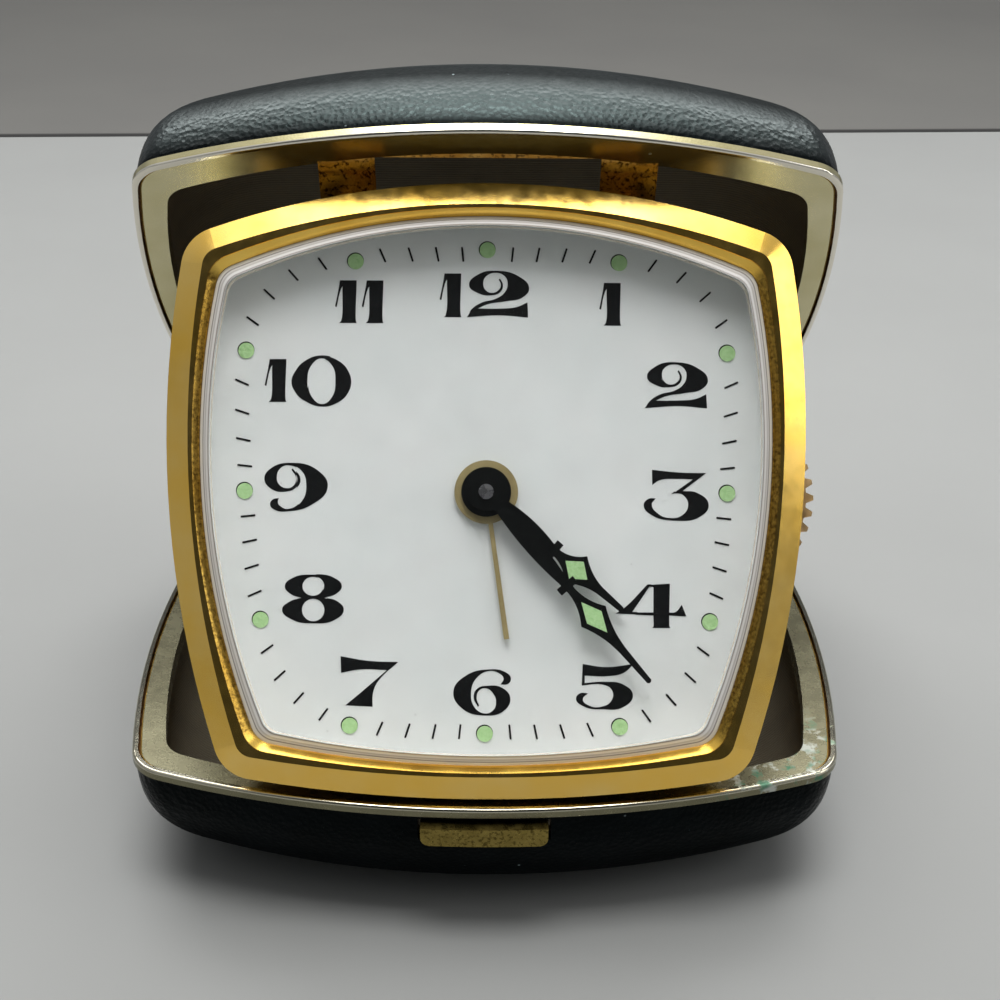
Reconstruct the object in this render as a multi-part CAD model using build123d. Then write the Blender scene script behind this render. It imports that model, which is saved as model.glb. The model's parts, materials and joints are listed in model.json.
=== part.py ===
from build123d import *
import os
from math import atan2, cos, degrees, hypot, pi, radians, sin

os.makedirs("parts", exist_ok=True)

# Folding travel alarm clock, standing open as a three-sided tent.
# Millimetres, +Z up. The front faces -Y and the right-hand side is +X.
# The origin is the middle of the flat the case stands on.

# Case, both halves alike, measured in the plane where they close
case_front_half_chord = 35.8
case_back_half_chord = 31.2
case_length = 71.3
case_front_bulge = 6.7
case_side_bulge = 4.2
case_back_bulge = 2.4
case_corner = 5.0
case_depth = 15.0
hinge_setback = 0.8

# How it stands
lid_angle = 54.5
clock_lean = 30.5
foot_setback = 0.8
foot_lift = 0.68

# Case pressings, from the leathercloth inwards
cloth_tuck = 0.25
cloth_thickness = 0.9
pan_thickness = 0.6
lining_thickness = 0.6

# Plated frame round each half
bead_width = 0.55
bead_height = 1.0
bead_round = 0.3
groove_width = 0.3
groove_depth = 0.3
flange_drop = 0.35
flange_thickness = 0.6
flange_width = 2.15
lid_front_flange_width = 3.0
inner_lip_width = 0.5
inner_lip_depth = 1.3
opening_corner_radius = 3.5

# Case hinge at the back
case_pin_radius = 0.6
case_knuckle_radius = 1.15
case_knuckle_length = 5.0
case_knuckle_gap = 0.3
case_knuckle_web = 1.8

# Latch push bar in the front wall
latch_length = 12.6
latch_height = 2.1
latch_proud = 0.9
latch_drop = 1.75
latch_corner = 0.9
latch_gap = 0.3
latch_travel = 0.6

# Clock head, measured in the plane of its face
head_top_half_chord = 29.9
head_foot_half_chord = 25.7
head_height = 53.0
head_top_bulge = 5.6
head_side_bulge = 3.5
head_foot_bulge = 2.3
head_corner = 4.2

# Bezel section, widths counted inwards from the outline
bezel_lip_height = 1.1
bezel_lip_drop = 0.3
bezel_band_width = 2.3
bezel_crest = 0.9
bezel_step = 0.35
bezel_step_width = 0.35
bezel_slope_width = 0.65
bezel_slope_drop = 0.7
bezel_body_inset = 1.5
bezel_body_wall = 0.9
bezel_body_depth = 4.4
bezel_seat = 0.7

# Crystal
crystal_thickness = 0.9
crystal_bevel = 1.0
crystal_rise = 0.8
crystal_crown_inset = 13.0
crystal_crown_rise = 0.45
crystal_flange = 0.6
seat_clearance = 0.05

# Dial and hands
dial_depth = 4.0
dial_thickness = 0.4
dial_centre_rise = 1.5
dial_hole_radius = 1.9
track_side_gap = 5.7
track_end_gap = 2.1
hour_dot_radius = 0.8
hour_dot_thickness = 0.12
spacer_width = 0.6
hand_thickness = 0.25
hand_gap = 0.36
minute_hand_length = 25.0
minute_hand_angle = 139.0
minute_hub_radius = 1.9
hour_hand_length = 18.1
hour_hand_angle = 130.7
hour_hub_radius = 2.5
minute_kite_width = 3.2
hour_kite_width = 3.55
hand_bar_width = 2.1
hand_bar_height = 0.78
lume_margin = 0.65
alarm_hand_length = 14.9
alarm_hand_angle = 171.8
alarm_disc_radius = 3.2
alarm_needle_width = 0.42
post_radius = 0.75
post_height = 0.45

# Back case
cup_inset = 4.5
cup_top_extra = 2.5
cup_wall = 0.7
cup_depth = 15.5
cup_round = 3.2
cup_corner_growth = 2.5
cup_flange = 0.5

# Movement
plate_thickness = 0.8
front_plate_depth = 7.5
back_plate_depth = 11.9
plate_inset = 6.1
plate_clearance = 0.7
pillar_radius = 0.9
pillar_inset = 3.0
pillar_right_x = 10.5
running_gap = 0.04
arbor_radius = 0.4
cannon_radius = 0.68
pipe_wall = 0.32
setting_distance = 7.5
setting_angle = -20.0
wheel_thickness = 0.5
wheel_float = 0.3
barrel_distance = 10.2
barrel_angle = 118.0
barrel_height = 2.4
third_distance = 7.0
third_angle = -115.0
balance_radius = 5.6
balance_rim = 0.7
balance_height = 0.6
balance_x = 7.5
balance_y = -13.0
wheel_clear = 0.15
screw_radius = 0.6
screw_head_radius = 1.3
screw_head_height = 0.5
screw_slot_width = 0.35

# Winding wheel at the side
winding_wheel_radius = 9.5
winding_wheel_reach = 2.3
winding_wheel_drop = 0.3
winding_wheel_thickness = 1.8
winding_wheel_depth = 7.4
winding_tooth_height = 0.75
winding_slot_gap = 0.4
winding_stud_radius = 1.0
winding_collar_radius = 1.9
winding_collar_height = 0.5
winding_end_play = 0.1

# Hinge between the lid and the clock head
head_hinge_rise = 0.1
head_hinge_depth = 6.6
head_pin_radius = 0.55
head_knuckle_radius = 1.1
tab_half_width = 17.0
tab_window_half_width = 10.3
tab_bend_reach = 3.0
tab_bend_drop = 3.3
tab_thickness = 0.5
tab_window_margin = 0.9
tab_knuckle_inset = 1.0
ear_width = 1.8
ear_gap = 0.3

# Controls on the back
knob_radius = 4.0
knob_height = 2.6
knob_gap = 0.35
arbor_hole_radius = 0.8
alarm_button_radius = 2.2
alarm_button_height = 2.4
alarm_button_travel = 1.2
alarm_button_gap = 0.4
alarm_button_offset_x = 13.0
alarm_button_offset_y = 10.0
button_stem_radius = 0.9
cut_overrun = 2.0

# Counts and roundness
dome_steps = 7
dome_squareness = 2.5
cup_steps = 4
cup_squareness = 2.2
cannon_teeth = 12
minute_wheel_teeth = 36
minute_pinion_teeth = 10
hour_wheel_teeth = 40
barrel_teeth = 48
centre_pinion_teeth = 8
centre_wheel_teeth = 48
third_pinion_teeth = 8
third_wheel_teeth = 36
winding_teeth = 36
knob_flutes = 16
case_knuckles = 5
case_screw_count = 3

# Points down a hand's right edge: share of its length, share of the kite's half width
hand_stem_shares = ((0.0, 0.13), (0.27, 0.52), (0.47, 0.30))
hand_swell_shares = ((0.525, 0.25), (0.588, 0.44), (0.655, 1.0))
hand_taper_shares = ((0.655, 1.0), (0.745, 0.46), (0.83, 0.24))
hand_point_shares = (0.985, 0.165)
hand_bar_share = 0.495
hand_window_shares = (0.58, 0.66, 0.74)
# How far the case's walls lean in by the base, as shares of its smallest half
case_base_inset_share, case_corner_growth_share = 0.48, 0.29
# Hour dots from twelve clockwise, as shares of the track's half width and half height
hour_dot_shares = (
    (0, 1), (0.55, 0.95), (1, 0.58), (1, 0), (0.93, -0.53), (0.56, -0.96),
    (0, -0.99), (-0.56, -0.96), (-0.93, -0.53), (-1, 0), (-1, 0.58), (-0.55, 0.95),
)
needle_tip_share = 1.3
gear_root_share, gear_tip_share = 1.15, 0.8
gear_root_width_share, gear_tip_width_share = 1.25, 0.45
gear_slack_share = 0.10
winding_tooth_shares = ((-0.36, 0.0), (-0.14, 1.0), (0.14, 1.0), (0.36, 0.0))


def bulged(low_half, high_half, low, high, low_bulge, side_bulge, high_bulge, corner):
    """Four-sided outline with bowed sides and round corners, wider end first."""
    rise, run = high - low, high_half - low_half
    side = hypot(rise, run)
    out_x, out_y = rise / side * side_bulge, -run / side * side_bulge
    mid_x, mid_y = (low_half + high_half) / 2 + out_x, (low + high) / 2 + out_y
    bottom = ThreePointArc((-low_half, low), (0, low - low_bulge), (low_half, low))
    right = ThreePointArc((low_half, low), (mid_x, mid_y), (high_half, high))
    top = ThreePointArc((high_half, high), (0, high + high_bulge), (-high_half, high))
    left = ThreePointArc((-high_half, high), (-mid_x, mid_y), (-low_half, low))
    face = make_face([bottom, right, top, left])
    return fillet(face.vertices(), corner)


def case_outline(inset, corner, front_extra=0):
    """Case half in its closing plane, hinge line on X, front towards -Y."""
    front = hinge_setback + case_length - case_front_bulge
    back = hinge_setback + case_back_bulge
    return bulged(
        case_front_half_chord - inset, case_back_half_chord - inset,
        -front + inset + front_extra, -back - inset,
        case_front_bulge, case_side_bulge, case_back_bulge, corner,
    )


def head_outline(inset, corner, foot_extra=0, top_extra=0):
    """Clock head in the plane of its face, foot on X, top towards +Y."""
    return bulged(
        head_foot_half_chord - inset, head_top_half_chord - inset,
        head_foot_bulge + inset + foot_extra, head_foot_bulge + head_height - inset - top_extra,
        head_foot_bulge, head_side_bulge, head_top_bulge, corner,
    )


def lifted(face, height):
    return Pos(0, 0, height) * face


def rounding(steps, power):
    """Depth and inset shares down a rounded wall, a quarter of a squarish oval."""
    pairs = []
    for step in range(steps + 1):
        angle = pi / 2 * step / steps
        pairs.append((sin(angle) ** (2 / power), 1 - max(cos(angle), 0) ** (2 / power)))
    return pairs


def slab(face, low, high):
    """Prism on a face between two heights."""
    return extrude(lifted(face, low), high - low)


def disc(radius, low, high, x=0, y=0):
    return Pos(x, y, (low + high) / 2) * Cylinder(radius, high - low)


def tube(outer, inner, low, high, x=0, y=0):
    return disc(outer, low, high, x, y) - disc(inner, low - cut_overrun, high + cut_overrun, x, y)


def block(x_low, x_high, y_low, y_high, z_low, z_high):
    centre = ((x_low + x_high) / 2, (y_low + y_high) / 2, (z_low + z_high) / 2)
    return Pos(*centre) * Box(x_high - x_low, y_high - y_low, z_high - z_low)


def rod_along_x(radius, x_low, x_high, y, z):
    return Pos((x_low + x_high) / 2, y, z) * Rot(0, 90, 0) * Cylinder(radius, x_high - x_low)


def wheel_face(teeth, module, bore, phase=0):
    """Toothed disc outline with straight-flanked clock teeth, as a face."""
    pitch_radius = teeth * module / 2
    root, tip = pitch_radius - gear_root_share * module, pitch_radius + gear_tip_share * module
    pitch_angle = 360 / teeth
    half = (pi * module / 4 - gear_slack_share * module) / pitch_radius
    root_half, tip_half = degrees(half) * gear_root_width_share, degrees(half) * gear_tip_width_share
    points = []
    for tooth in range(teeth):
        middle = phase + tooth * pitch_angle
        for radius, turn in ((root, -root_half), (tip, -tip_half), (tip, tip_half), (root, root_half)):
            angle = radians(middle + turn)
            points.append((radius * cos(angle), radius * sin(angle)))
    face = make_face(Polyline(*points, close=True))
    return face - Circle(bore) if bore else face


def toothed_rim(teeth, radius, height):
    """Coarse ratchet-like rim for a thumb, as a face."""
    points = []
    for tooth in range(teeth):
        for turn, reach in winding_tooth_shares:
            angle = 2 * pi * (tooth + turn) / teeth
            points.append(((radius - height * (1 - reach)) * cos(angle),
                           (radius - height * (1 - reach)) * sin(angle)))
    return make_face(Polyline(*points, close=True))


# One case half in its own frame: closing plane at zero, hollow below it
rim_base = flange_drop + flange_thickness
lining_skin = cloth_tuck + cloth_thickness + pan_thickness


def pillow(skin):
    """Pillow-shaped form whose walls lie one skin inside the outline."""
    depth = case_depth + cloth_tuck - skin
    room = min(case_back_half_chord, case_length / 2)
    sections = []
    for depth_share, inset_share in rounding(dome_steps, dome_squareness):
        inset = skin + inset_share * (case_base_inset_share * room - skin)
        corner = case_corner - skin + inset_share * case_corner_growth_share * room
        height = -rim_base - depth_share * (depth - rim_base)
        sections.append(lifted(case_outline(inset, corner), height))
    return loft(sections)


def pressing(skin, wall):
    """Hollow pressing between two skins, open at the closing plane."""
    return pillow(skin) - pillow(skin + wall)


def hinge_knuckles(first):
    """Every other knuckle of the case hinge, with the web that carries it."""
    pitch = case_knuckle_length + case_knuckle_gap
    solids = []
    for place in range(first, case_knuckles, 2):
        low = (place - (case_knuckles - 1) / 2) * pitch - case_knuckle_length / 2
        high = low + case_knuckle_length
        barrel = rod_along_x(case_knuckle_radius, low, high, 0, 0)
        web = block(low, high, -case_knuckle_web, 0, -bead_height, -flange_drop)
        solids.append(barrel + web)
    return solids


def hinge_relief(first):
    """Room in the frame for the other half's knuckles."""
    pitch = case_knuckle_length + case_knuckle_gap
    radius = case_knuckle_radius + case_knuckle_gap
    solids = []
    for place in range(first, case_knuckles, 2):
        middle = (place - (case_knuckles - 1) / 2) * pitch
        reach = case_knuckle_length / 2 + case_knuckle_gap
        solids.append(rod_along_x(radius, middle - reach, middle + reach, 0, 0))
    return solids


def frame_ring(front_flange, first_knuckle):
    """Plated frame: round bead, gold-lined groove, flat flange and turned-in lip."""
    bead = slab(case_outline(0, case_corner), -bead_height, 0)
    bead = fillet(bead.faces().sort_by(Axis.Z)[-1].edges(), bead_round)
    inside_bead = case_outline(bead_width, case_corner - bead_width)
    bead -= slab(inside_bead, -bead_height - cut_overrun, cut_overrun)
    groove_inset = bead_width + groove_width
    extra = front_flange - flange_width
    opening_inset = groove_inset + flange_width
    opening = case_outline(opening_inset, opening_corner_radius, extra)
    lip_outer = case_outline(
        opening_inset - inner_lip_width, opening_corner_radius + inner_lip_width, extra
    )
    base = slab(inside_bead, -rim_base, -flange_drop - groove_depth)
    flange = slab(case_outline(groove_inset, case_corner - groove_inset), -rim_base, -flange_drop)
    lip = slab(lip_outer, -rim_base - inner_lip_depth, -flange_drop)
    ring = bead + base + flange + lip
    ring -= slab(opening, -rim_base - inner_lip_depth - cut_overrun, cut_overrun)
    for relief in hinge_relief(1 - first_knuckle):
        ring -= relief
    for knuckle in hinge_knuckles(first_knuckle):
        ring += knuckle
    ring -= rod_along_x(case_pin_radius + running_gap, -case_length, case_length, 0, 0)
    return ring


# Latch push bar, bowed like the case front, sliding in through the wall
front_edge = -(hinge_setback + case_length)
latch_top = -latch_drop
lip_inset = bead_width + groove_width + flange_width - inner_lip_width
latch_reach = lip_inset - latch_travel - latch_gap


def front_band(outer_inset, inner_inset, half, low, high):
    """Piece of the front wall's curve between two insets."""
    band = slab(case_outline(outer_inset, case_corner), low, high)
    band -= slab(case_outline(inner_inset, case_corner), low - cut_overrun, high + cut_overrun)
    return band & block(-half, half, front_edge * 2, front_edge / 2, low, high)


def latch_bar():
    bar = front_band(-latch_proud, latch_reach, latch_length / 2, latch_top - latch_height, latch_top)
    ends = bar.edges().filter_by(Axis.Y).group_by(Axis.Z)[0]
    return fillet(ends, latch_corner)


latch_slot = front_band(
    -latch_proud * 2, latch_reach * 2, latch_length / 2 + latch_gap,
    latch_top - latch_height - latch_gap, latch_top + latch_gap,
)


# Clock head in its own frame: face plane at zero, foot on X, back towards -Z
slope_start = bezel_band_width + bezel_step_width
window_inset = slope_start + bezel_slope_width
slope_top = bezel_crest - bezel_step
slope_base = slope_top - bezel_slope_drop
seat_height = slope_base - bezel_seat
lip_base = -bezel_lip_drop - bezel_lip_height
cavity_inset = bezel_body_inset + bezel_body_wall
seat_inset = cavity_inset + seat_clearance
dial_top = -dial_depth
dial_base = dial_top - dial_thickness
cup_face = -bezel_body_depth


def window(inset, height):
    return lifted(head_outline(inset, head_corner - inset / 2), height)


def make_bezel():
    """Gold bezel: sloped band, crest, step and inner slope round the window."""
    shell = slab(head_outline(0, head_corner), lip_base, bezel_crest)
    crest_edges = shell.faces().sort_by(Axis.Z)[-1].edges()
    shell = chamfer(crest_edges, bezel_crest + bezel_lip_drop, bezel_band_width)
    shell += slab(head_outline(bezel_body_inset, head_corner - bezel_body_inset), cup_face, lip_base)
    stepped = head_outline(slope_start, head_corner - slope_start / 2)
    cavity = head_outline(cavity_inset, head_corner - cavity_inset / 2)
    shell -= slab(stepped, slope_top, bezel_crest + cut_overrun)
    shell -= slab(cavity, cup_face - cut_overrun, seat_height)
    shell -= extrude(window(window_inset, seat_height - cut_overrun), cut_overrun * 2 + bezel_seat)
    return shell - loft([window(window_inset, slope_base), window(slope_start, slope_top)], ruled=True)


def make_crystal():
    """Moulded crystal: flange behind the bezel, bevelled edge and low crown."""
    seat = head_outline(seat_inset, head_corner - seat_inset / 2)
    flange = slab(seat, seat_height - crystal_flange, seat_height)
    fit = window_inset + seat_clearance
    stand = extrude(window(fit, seat_height), slope_base - seat_height)
    inner = fit + crystal_bevel
    bevel_top = slope_base + crystal_rise
    bevel = loft([window(fit, slope_base), window(inner, bevel_top)], ruled=True)
    crown = loft([
        window(inner, bevel_top),
        lifted(head_outline(crystal_crown_inset, head_corner), bevel_top + crystal_crown_rise),
    ], ruled=True)
    hollow = extrude(window(inner, seat_height - crystal_flange - cut_overrun),
                     cut_overrun + crystal_flange + bevel_top - crystal_thickness - seat_height)
    return flange + stand + bevel + crown - hollow


def ring_between(outer, inner, low, high):
    """Flat ring between two insets of the head's outline."""
    inside = head_outline(inner, head_corner - inner / 2)
    ring = slab(head_outline(outer, head_corner - outer / 2), low, high)
    return ring - slab(inside, low - cut_overrun, high + cut_overrun)


# Movement layout in the head's frame
centre_y = head_foot_bulge + head_height / 2 + dial_centre_rise
setting_x = setting_distance * cos(radians(setting_angle))
setting_y = centre_y + setting_distance * sin(radians(setting_angle))
barrel_x = barrel_distance * cos(radians(barrel_angle))
barrel_y = centre_y + barrel_distance * sin(radians(barrel_angle))
third_x = third_distance * cos(radians(third_angle))
third_y = centre_y + third_distance * sin(radians(third_angle))
head_half = (head_foot_half_chord + head_top_half_chord) / 2 + head_side_bulge
winding_x = head_half + winding_wheel_reach - winding_wheel_radius
winding_y = centre_y - winding_wheel_drop
winding_low = -winding_wheel_depth - winding_wheel_thickness / 2
winding_high = winding_low + winding_wheel_thickness
front_plate_low = -front_plate_depth - plate_thickness
back_plate_low = -back_plate_depth - plate_thickness
cup_back = -cup_depth
cup_inside = cup_back + cup_wall
button_x, button_y = -alarm_button_offset_x, centre_y + alarm_button_offset_y


def cup_body(skin):
    """Round-backed pressing one skin inside the cup's outline."""
    wall_end = skin - cup_depth + cup_round
    wall = slab(head_outline(cup_inset + skin, head_corner - skin, 0, cup_top_extra), wall_end, cup_face)
    sections = []
    for depth_share, inset_share in rounding(cup_steps, cup_squareness):
        inset = cup_inset + skin + inset_share * cup_round
        radius = head_corner - skin + inset_share * cup_corner_growth
        face = head_outline(inset, radius, 0, cup_top_extra)
        sections.append(lifted(face, wall_end - depth_share * cup_round))
    return wall + loft(sections)


def make_back_case():
    """Pressed back case with its flange, the wheel's slot and the holes for the controls."""
    flange = slab(
        head_outline(seat_inset - bezel_body_wall / 2, head_corner / 2, 0, cup_top_extra / 2),
        cup_face - cup_flange, cup_face,
    )
    case = cup_body(0) + flange
    mouth = slab(
        head_outline(cup_inset + cup_wall, head_corner - cup_wall, 0, cup_top_extra),
        cup_face - cup_flange - cup_wall, cup_face + cut_overrun,
    )
    case = case - cup_body(cup_wall) - mouth
    slot_half = winding_wheel_radius + winding_slot_gap
    case -= block(
        winding_x, winding_x + slot_half + cut_overrun, winding_y - slot_half, winding_y + slot_half,
        winding_low - winding_slot_gap, winding_high + winding_slot_gap,
    )
    for x in (setting_x, -setting_x):
        case -= disc(arbor_hole_radius, cup_back - cut_overrun, cup_inside + cut_overrun, x, setting_y)
    for x, y in pillar_spots[:case_screw_count]:
        case -= disc(screw_radius + running_gap, cup_back - cut_overrun, cup_inside + cut_overrun, x, y)
    case -= disc(
        button_stem_radius + running_gap, cup_back - cut_overrun, cup_inside + cut_overrun,
        button_x, button_y,
    )
    return case


def movement_plate(low, holes, wheel_room):
    """Brass plate inside the cup, with room for the winding wheel where it needs it."""
    plate = slab(head_outline(plate_inset, head_corner, 0, cup_top_extra), low, low + plate_thickness)
    if wheel_room:
        plate -= disc(
            winding_wheel_radius + plate_clearance, low - cut_overrun,
            low + plate_thickness + cut_overrun, winding_x, winding_y,
        )
    for x, y, radius in holes:
        plate -= disc(radius, low - cut_overrun, low + plate_thickness + cut_overrun, x, y)
    return plate


pillar_spots = [
    (-head_foot_half_chord + plate_inset + pillar_inset, head_foot_bulge + plate_inset + pillar_inset),
    (head_foot_half_chord - plate_inset - pillar_inset, head_foot_bulge + plate_inset + pillar_inset),
    (-head_top_half_chord + plate_inset + pillar_inset,
     head_foot_bulge + head_height - plate_inset - pillar_inset - cup_top_extra),
    (pillar_right_x, head_foot_bulge + head_height - plate_inset - pillar_inset - cup_top_extra),
]
pivot = arbor_radius + running_gap


def gear(teeth, module, bore, low, high, x, y, phase=0):
    wheel = extrude(wheel_face(teeth, module, bore, phase=phase), high - low)
    return Pos(x, y, low) * wheel


def hand_outline(length, kite_width):
    """Leaf-shaped stem, kite with hollow sides and a fine round-ended point, as a face."""
    def edge_point(shares, side):
        along, wide = shares
        return (side * kite_width / 2 * wide, length * along)

    edges = []
    for side in (1, -1):
        stem = [edge_point(pair, side) for pair in hand_stem_shares]
        swell = [edge_point(pair, side) for pair in hand_swell_shares]
        taper = [edge_point(pair, side) for pair in hand_taper_shares]
        point = edge_point(hand_point_shares, side)
        edges += [ThreePointArc(*stem), Line(stem[-1], swell[0]), ThreePointArc(*swell)]
        edges += [ThreePointArc(*taper), Line(taper[-1], point)]
    tip = [edge_point(hand_point_shares, -1), (0, length), edge_point(hand_point_shares, 1)]
    edges.append(ThreePointArc(*tip))
    edges.append(Line(edge_point(hand_stem_shares[0], -1), edge_point(hand_stem_shares[0], 1)))
    return make_face(edges)


def hand_profile(length, hub_radius, kite_width):
    """Hand with its hub, short crossbar and pierced kite."""
    bar = Pos(0, length * hand_bar_share) * Rectangle(hand_bar_width, hand_bar_height)
    blade = hand_outline(length, kite_width) + bar + Circle(hub_radius)
    return blade - hand_window(length, kite_width)


def hand_window(length, kite_width):
    low, middle, high = (length * share for share in hand_window_shares)
    half = kite_width / 2 - lume_margin
    return make_face(Polyline((0, low), (half, middle), (0, high), (-half, middle), close=True))


def turned(solid, clockwise):
    """Turn about the dial centre, clockwise as seen from the front."""
    return Pos(0, centre_y, 0) * Rot(0, 0, -clockwise) * solid


nodes = {}

# Lower case half, resting on its base
hinge_y = hinge_setback + case_length / 2
foot_reach = hinge_setback + case_length - foot_setback
lower_place = Pos(0, hinge_y, case_depth)
lid_plane = Plane(
    origin=(0, hinge_y, case_depth),
    x_dir=(-1, 0, 0),
    z_dir=(0, -sin(radians(lid_angle)), -cos(radians(lid_angle))),
)
head_plane = Plane(
    origin=(0, hinge_y - foot_reach, case_depth + foot_lift),
    x_dir=(1, 0, 0),
    z_dir=(0, -cos(radians(clock_lean)), sin(radians(clock_lean))),
)
lid_place, head_place = lid_plane.location, head_plane.location

cover = pressing(cloth_tuck, cloth_thickness)
cover -= slab(case_outline(-latch_proud, case_corner), -bead_height, 0)
pan = pressing(cloth_tuck + cloth_thickness, pan_thickness)
lining = pressing(lining_skin, lining_thickness)

nodes["lower_cover"] = lower_place * (cover - latch_slot)
nodes["lower_pan"] = lower_place * (pan - latch_slot)
nodes["lower_lining"] = lower_place * (lining - latch_slot)
nodes["lower_frame"] = lower_place * frame_ring(flange_width, 0)
pin_half = (case_knuckles * (case_knuckle_length + case_knuckle_gap) - case_knuckle_gap) / 2
nodes["case_hinge_pin"] = lower_place * rod_along_x(case_pin_radius, -pin_half, pin_half, 0, 0)
nodes["latch_bar"] = lower_place * latch_bar()

nodes["lid_cover"] = lid_place * cover
nodes["lid_pan"] = lid_place * pan
nodes["lid_lining"] = lid_place * lining
nodes["lid_frame"] = lid_place * frame_ring(lid_front_flange_width, 1)

nodes["bezel"] = head_place * make_bezel()
nodes["crystal"] = head_place * make_crystal()
nodes["back_case"] = head_place * make_back_case()
nodes["dial_spacer"] = head_place * ring_between(
    seat_inset, seat_inset + spacer_width, dial_top, seat_height - crystal_flange
)
dial = slab(head_outline(seat_inset, head_corner - seat_inset / 2), dial_base, dial_top)
dial -= disc(dial_hole_radius, dial_base - cut_overrun, cut_overrun, 0, centre_y)
nodes["dial"] = head_place * dial
track_x = head_top_half_chord - track_side_gap
track_y = head_height / 2 - track_end_gap
dots = [
    Pos(track_x * x_share, centre_y + track_y * y_share, dial_top + hour_dot_thickness / 2)
    * Cylinder(hour_dot_radius, hour_dot_thickness)
    for x_share, y_share in hour_dot_shares
]
nodes["hour_dots"] = head_place * Compound(children=dots)

# Hands, each a level above the last, on their pipes
alarm_low = dial_top + hand_gap
hour_low = alarm_low + hand_thickness + hand_gap
minute_low = hour_low + hand_thickness + hand_gap
minute_top = minute_low + hand_thickness
hour_pipe_inner = cannon_radius + running_gap
hour_pipe_outer = hour_pipe_inner + pipe_wall
alarm_pipe_inner = hour_pipe_outer + running_gap
alarm_pipe_outer = alarm_pipe_inner + pipe_wall
cannon_bore = arbor_radius + running_gap

# Levels behind the dial, worked downwards from its back
alarm_wheel_top = dial_base - wheel_float
alarm_wheel_low = alarm_wheel_top - wheel_thickness
hour_wheel_top = alarm_wheel_low - wheel_float - wheel_clear
hour_wheel_low = hour_wheel_top - wheel_thickness
minute_wheel_top = hour_wheel_low - wheel_float - wheel_clear
minute_wheel_low = minute_wheel_top - wheel_thickness
centre_wheel_top = front_plate_low - wheel_float
centre_wheel_low = centre_wheel_top - wheel_thickness
barrel_low = -back_plate_depth + wheel_float
barrel_top = barrel_low + barrel_height
teeth_top = barrel_low + wheel_thickness + wheel_float

motion_module = 2 * setting_distance / (cannon_teeth + minute_wheel_teeth)
hour_module = 2 * setting_distance / (minute_pinion_teeth + hour_wheel_teeth)
barrel_module = 2 * barrel_distance / (barrel_teeth + centre_pinion_teeth)
third_module = 2 * third_distance / (centre_wheel_teeth + third_pinion_teeth)


def meshing_phase(driver_teeth, driven_teeth, direction):
    """Turn of a driven wheel that puts a gap at the driver's tooth on the centre line."""
    return direction + 180 + 180 / driven_teeth + direction_lag(driver_teeth, driven_teeth, direction)


def direction_lag(driver_teeth, driven_teeth, direction):
    """Part of a pitch by which the driver's teeth miss the centre line."""
    pitch = 360 / driver_teeth
    lag = (direction / pitch - round(direction / pitch)) * pitch
    return lag * driver_teeth / driven_teeth


minute_face = hand_profile(minute_hand_length, minute_hub_radius, minute_kite_width)
minute = turned(slab(minute_face, minute_low, minute_top), minute_hand_angle)
minute += tube(cannon_radius, cannon_bore, minute_wheel_low, minute_top, 0, centre_y)
minute -= disc(cannon_bore, minute_wheel_low - cut_overrun, minute_low, 0, centre_y)
minute += gear(cannon_teeth, motion_module, cannon_bore, minute_wheel_low, minute_wheel_top, 0, centre_y)
nodes["minute_hand"] = head_place * minute
minute_filling = slab(hand_window(minute_hand_length, minute_kite_width), minute_low, minute_top)
nodes["minute_lume"] = head_place * turned(minute_filling, minute_hand_angle)
nodes["centre_cap"] = head_place * (
    disc(post_radius, minute_top, minute_top + post_height, 0, centre_y)
)

hour_face = hand_profile(hour_hand_length, hour_hub_radius, hour_kite_width)
hour_top = hour_low + hand_thickness
hour = turned(slab(hour_face, hour_low, hour_top), hour_hand_angle)
hour -= disc(hour_pipe_inner, hour_low - cut_overrun, minute_low, 0, centre_y)
hour += tube(hour_pipe_outer, hour_pipe_inner, hour_wheel_low, hour_low, 0, centre_y)
hour += gear(hour_wheel_teeth, hour_module, hour_pipe_inner, hour_wheel_low, hour_wheel_top, 0, centre_y)
nodes["hour_hand"] = head_place * hour
hour_filling = slab(hand_window(hour_hand_length, hour_kite_width), hour_low, hour_top)
nodes["hour_lume"] = head_place * turned(hour_filling, hour_hand_angle)

needle = make_face(Polyline(
    (-alarm_needle_width / 2, 0), (alarm_needle_width / 2, 0),
    (alarm_needle_width * needle_tip_share / 2, alarm_hand_length),
    (-alarm_needle_width * needle_tip_share / 2, alarm_hand_length), close=True))
alarm_face = needle + Circle(alarm_disc_radius)
alarm = turned(slab(alarm_face, alarm_low, alarm_low + hand_thickness), alarm_hand_angle)
alarm -= disc(alarm_pipe_inner, alarm_low - cut_overrun, hour_low, 0, centre_y)
alarm += tube(alarm_pipe_outer, alarm_pipe_inner, alarm_wheel_low, alarm_low, 0, centre_y)
alarm += gear(
    hour_wheel_teeth, hour_module, alarm_pipe_inner, alarm_wheel_low, alarm_wheel_top, 0, centre_y
)
nodes["alarm_hand"] = head_place * alarm

# Setting arbors through the movement, with their knobs on the back
knob_face = cup_back - knob_gap


def setting_arbor(x, top):
    return disc(arbor_radius, knob_face, top, x, setting_y)


def knob(x):
    """Fluted setting knob."""
    body = disc(knob_radius, knob_face - knob_height, knob_face, x, setting_y)
    flute_radius = pi * knob_radius / knob_flutes / 2
    for place in range(knob_flutes):
        angle = 2 * pi * place / knob_flutes
        body -= disc(
            flute_radius, knob_face - knob_height - cut_overrun, knob_face + cut_overrun,
            x + knob_radius * cos(angle), setting_y + knob_radius * sin(angle),
        )
    return body - disc(arbor_radius, knob_face - knob_height / 2, knob_face + cut_overrun, x, setting_y)


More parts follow.
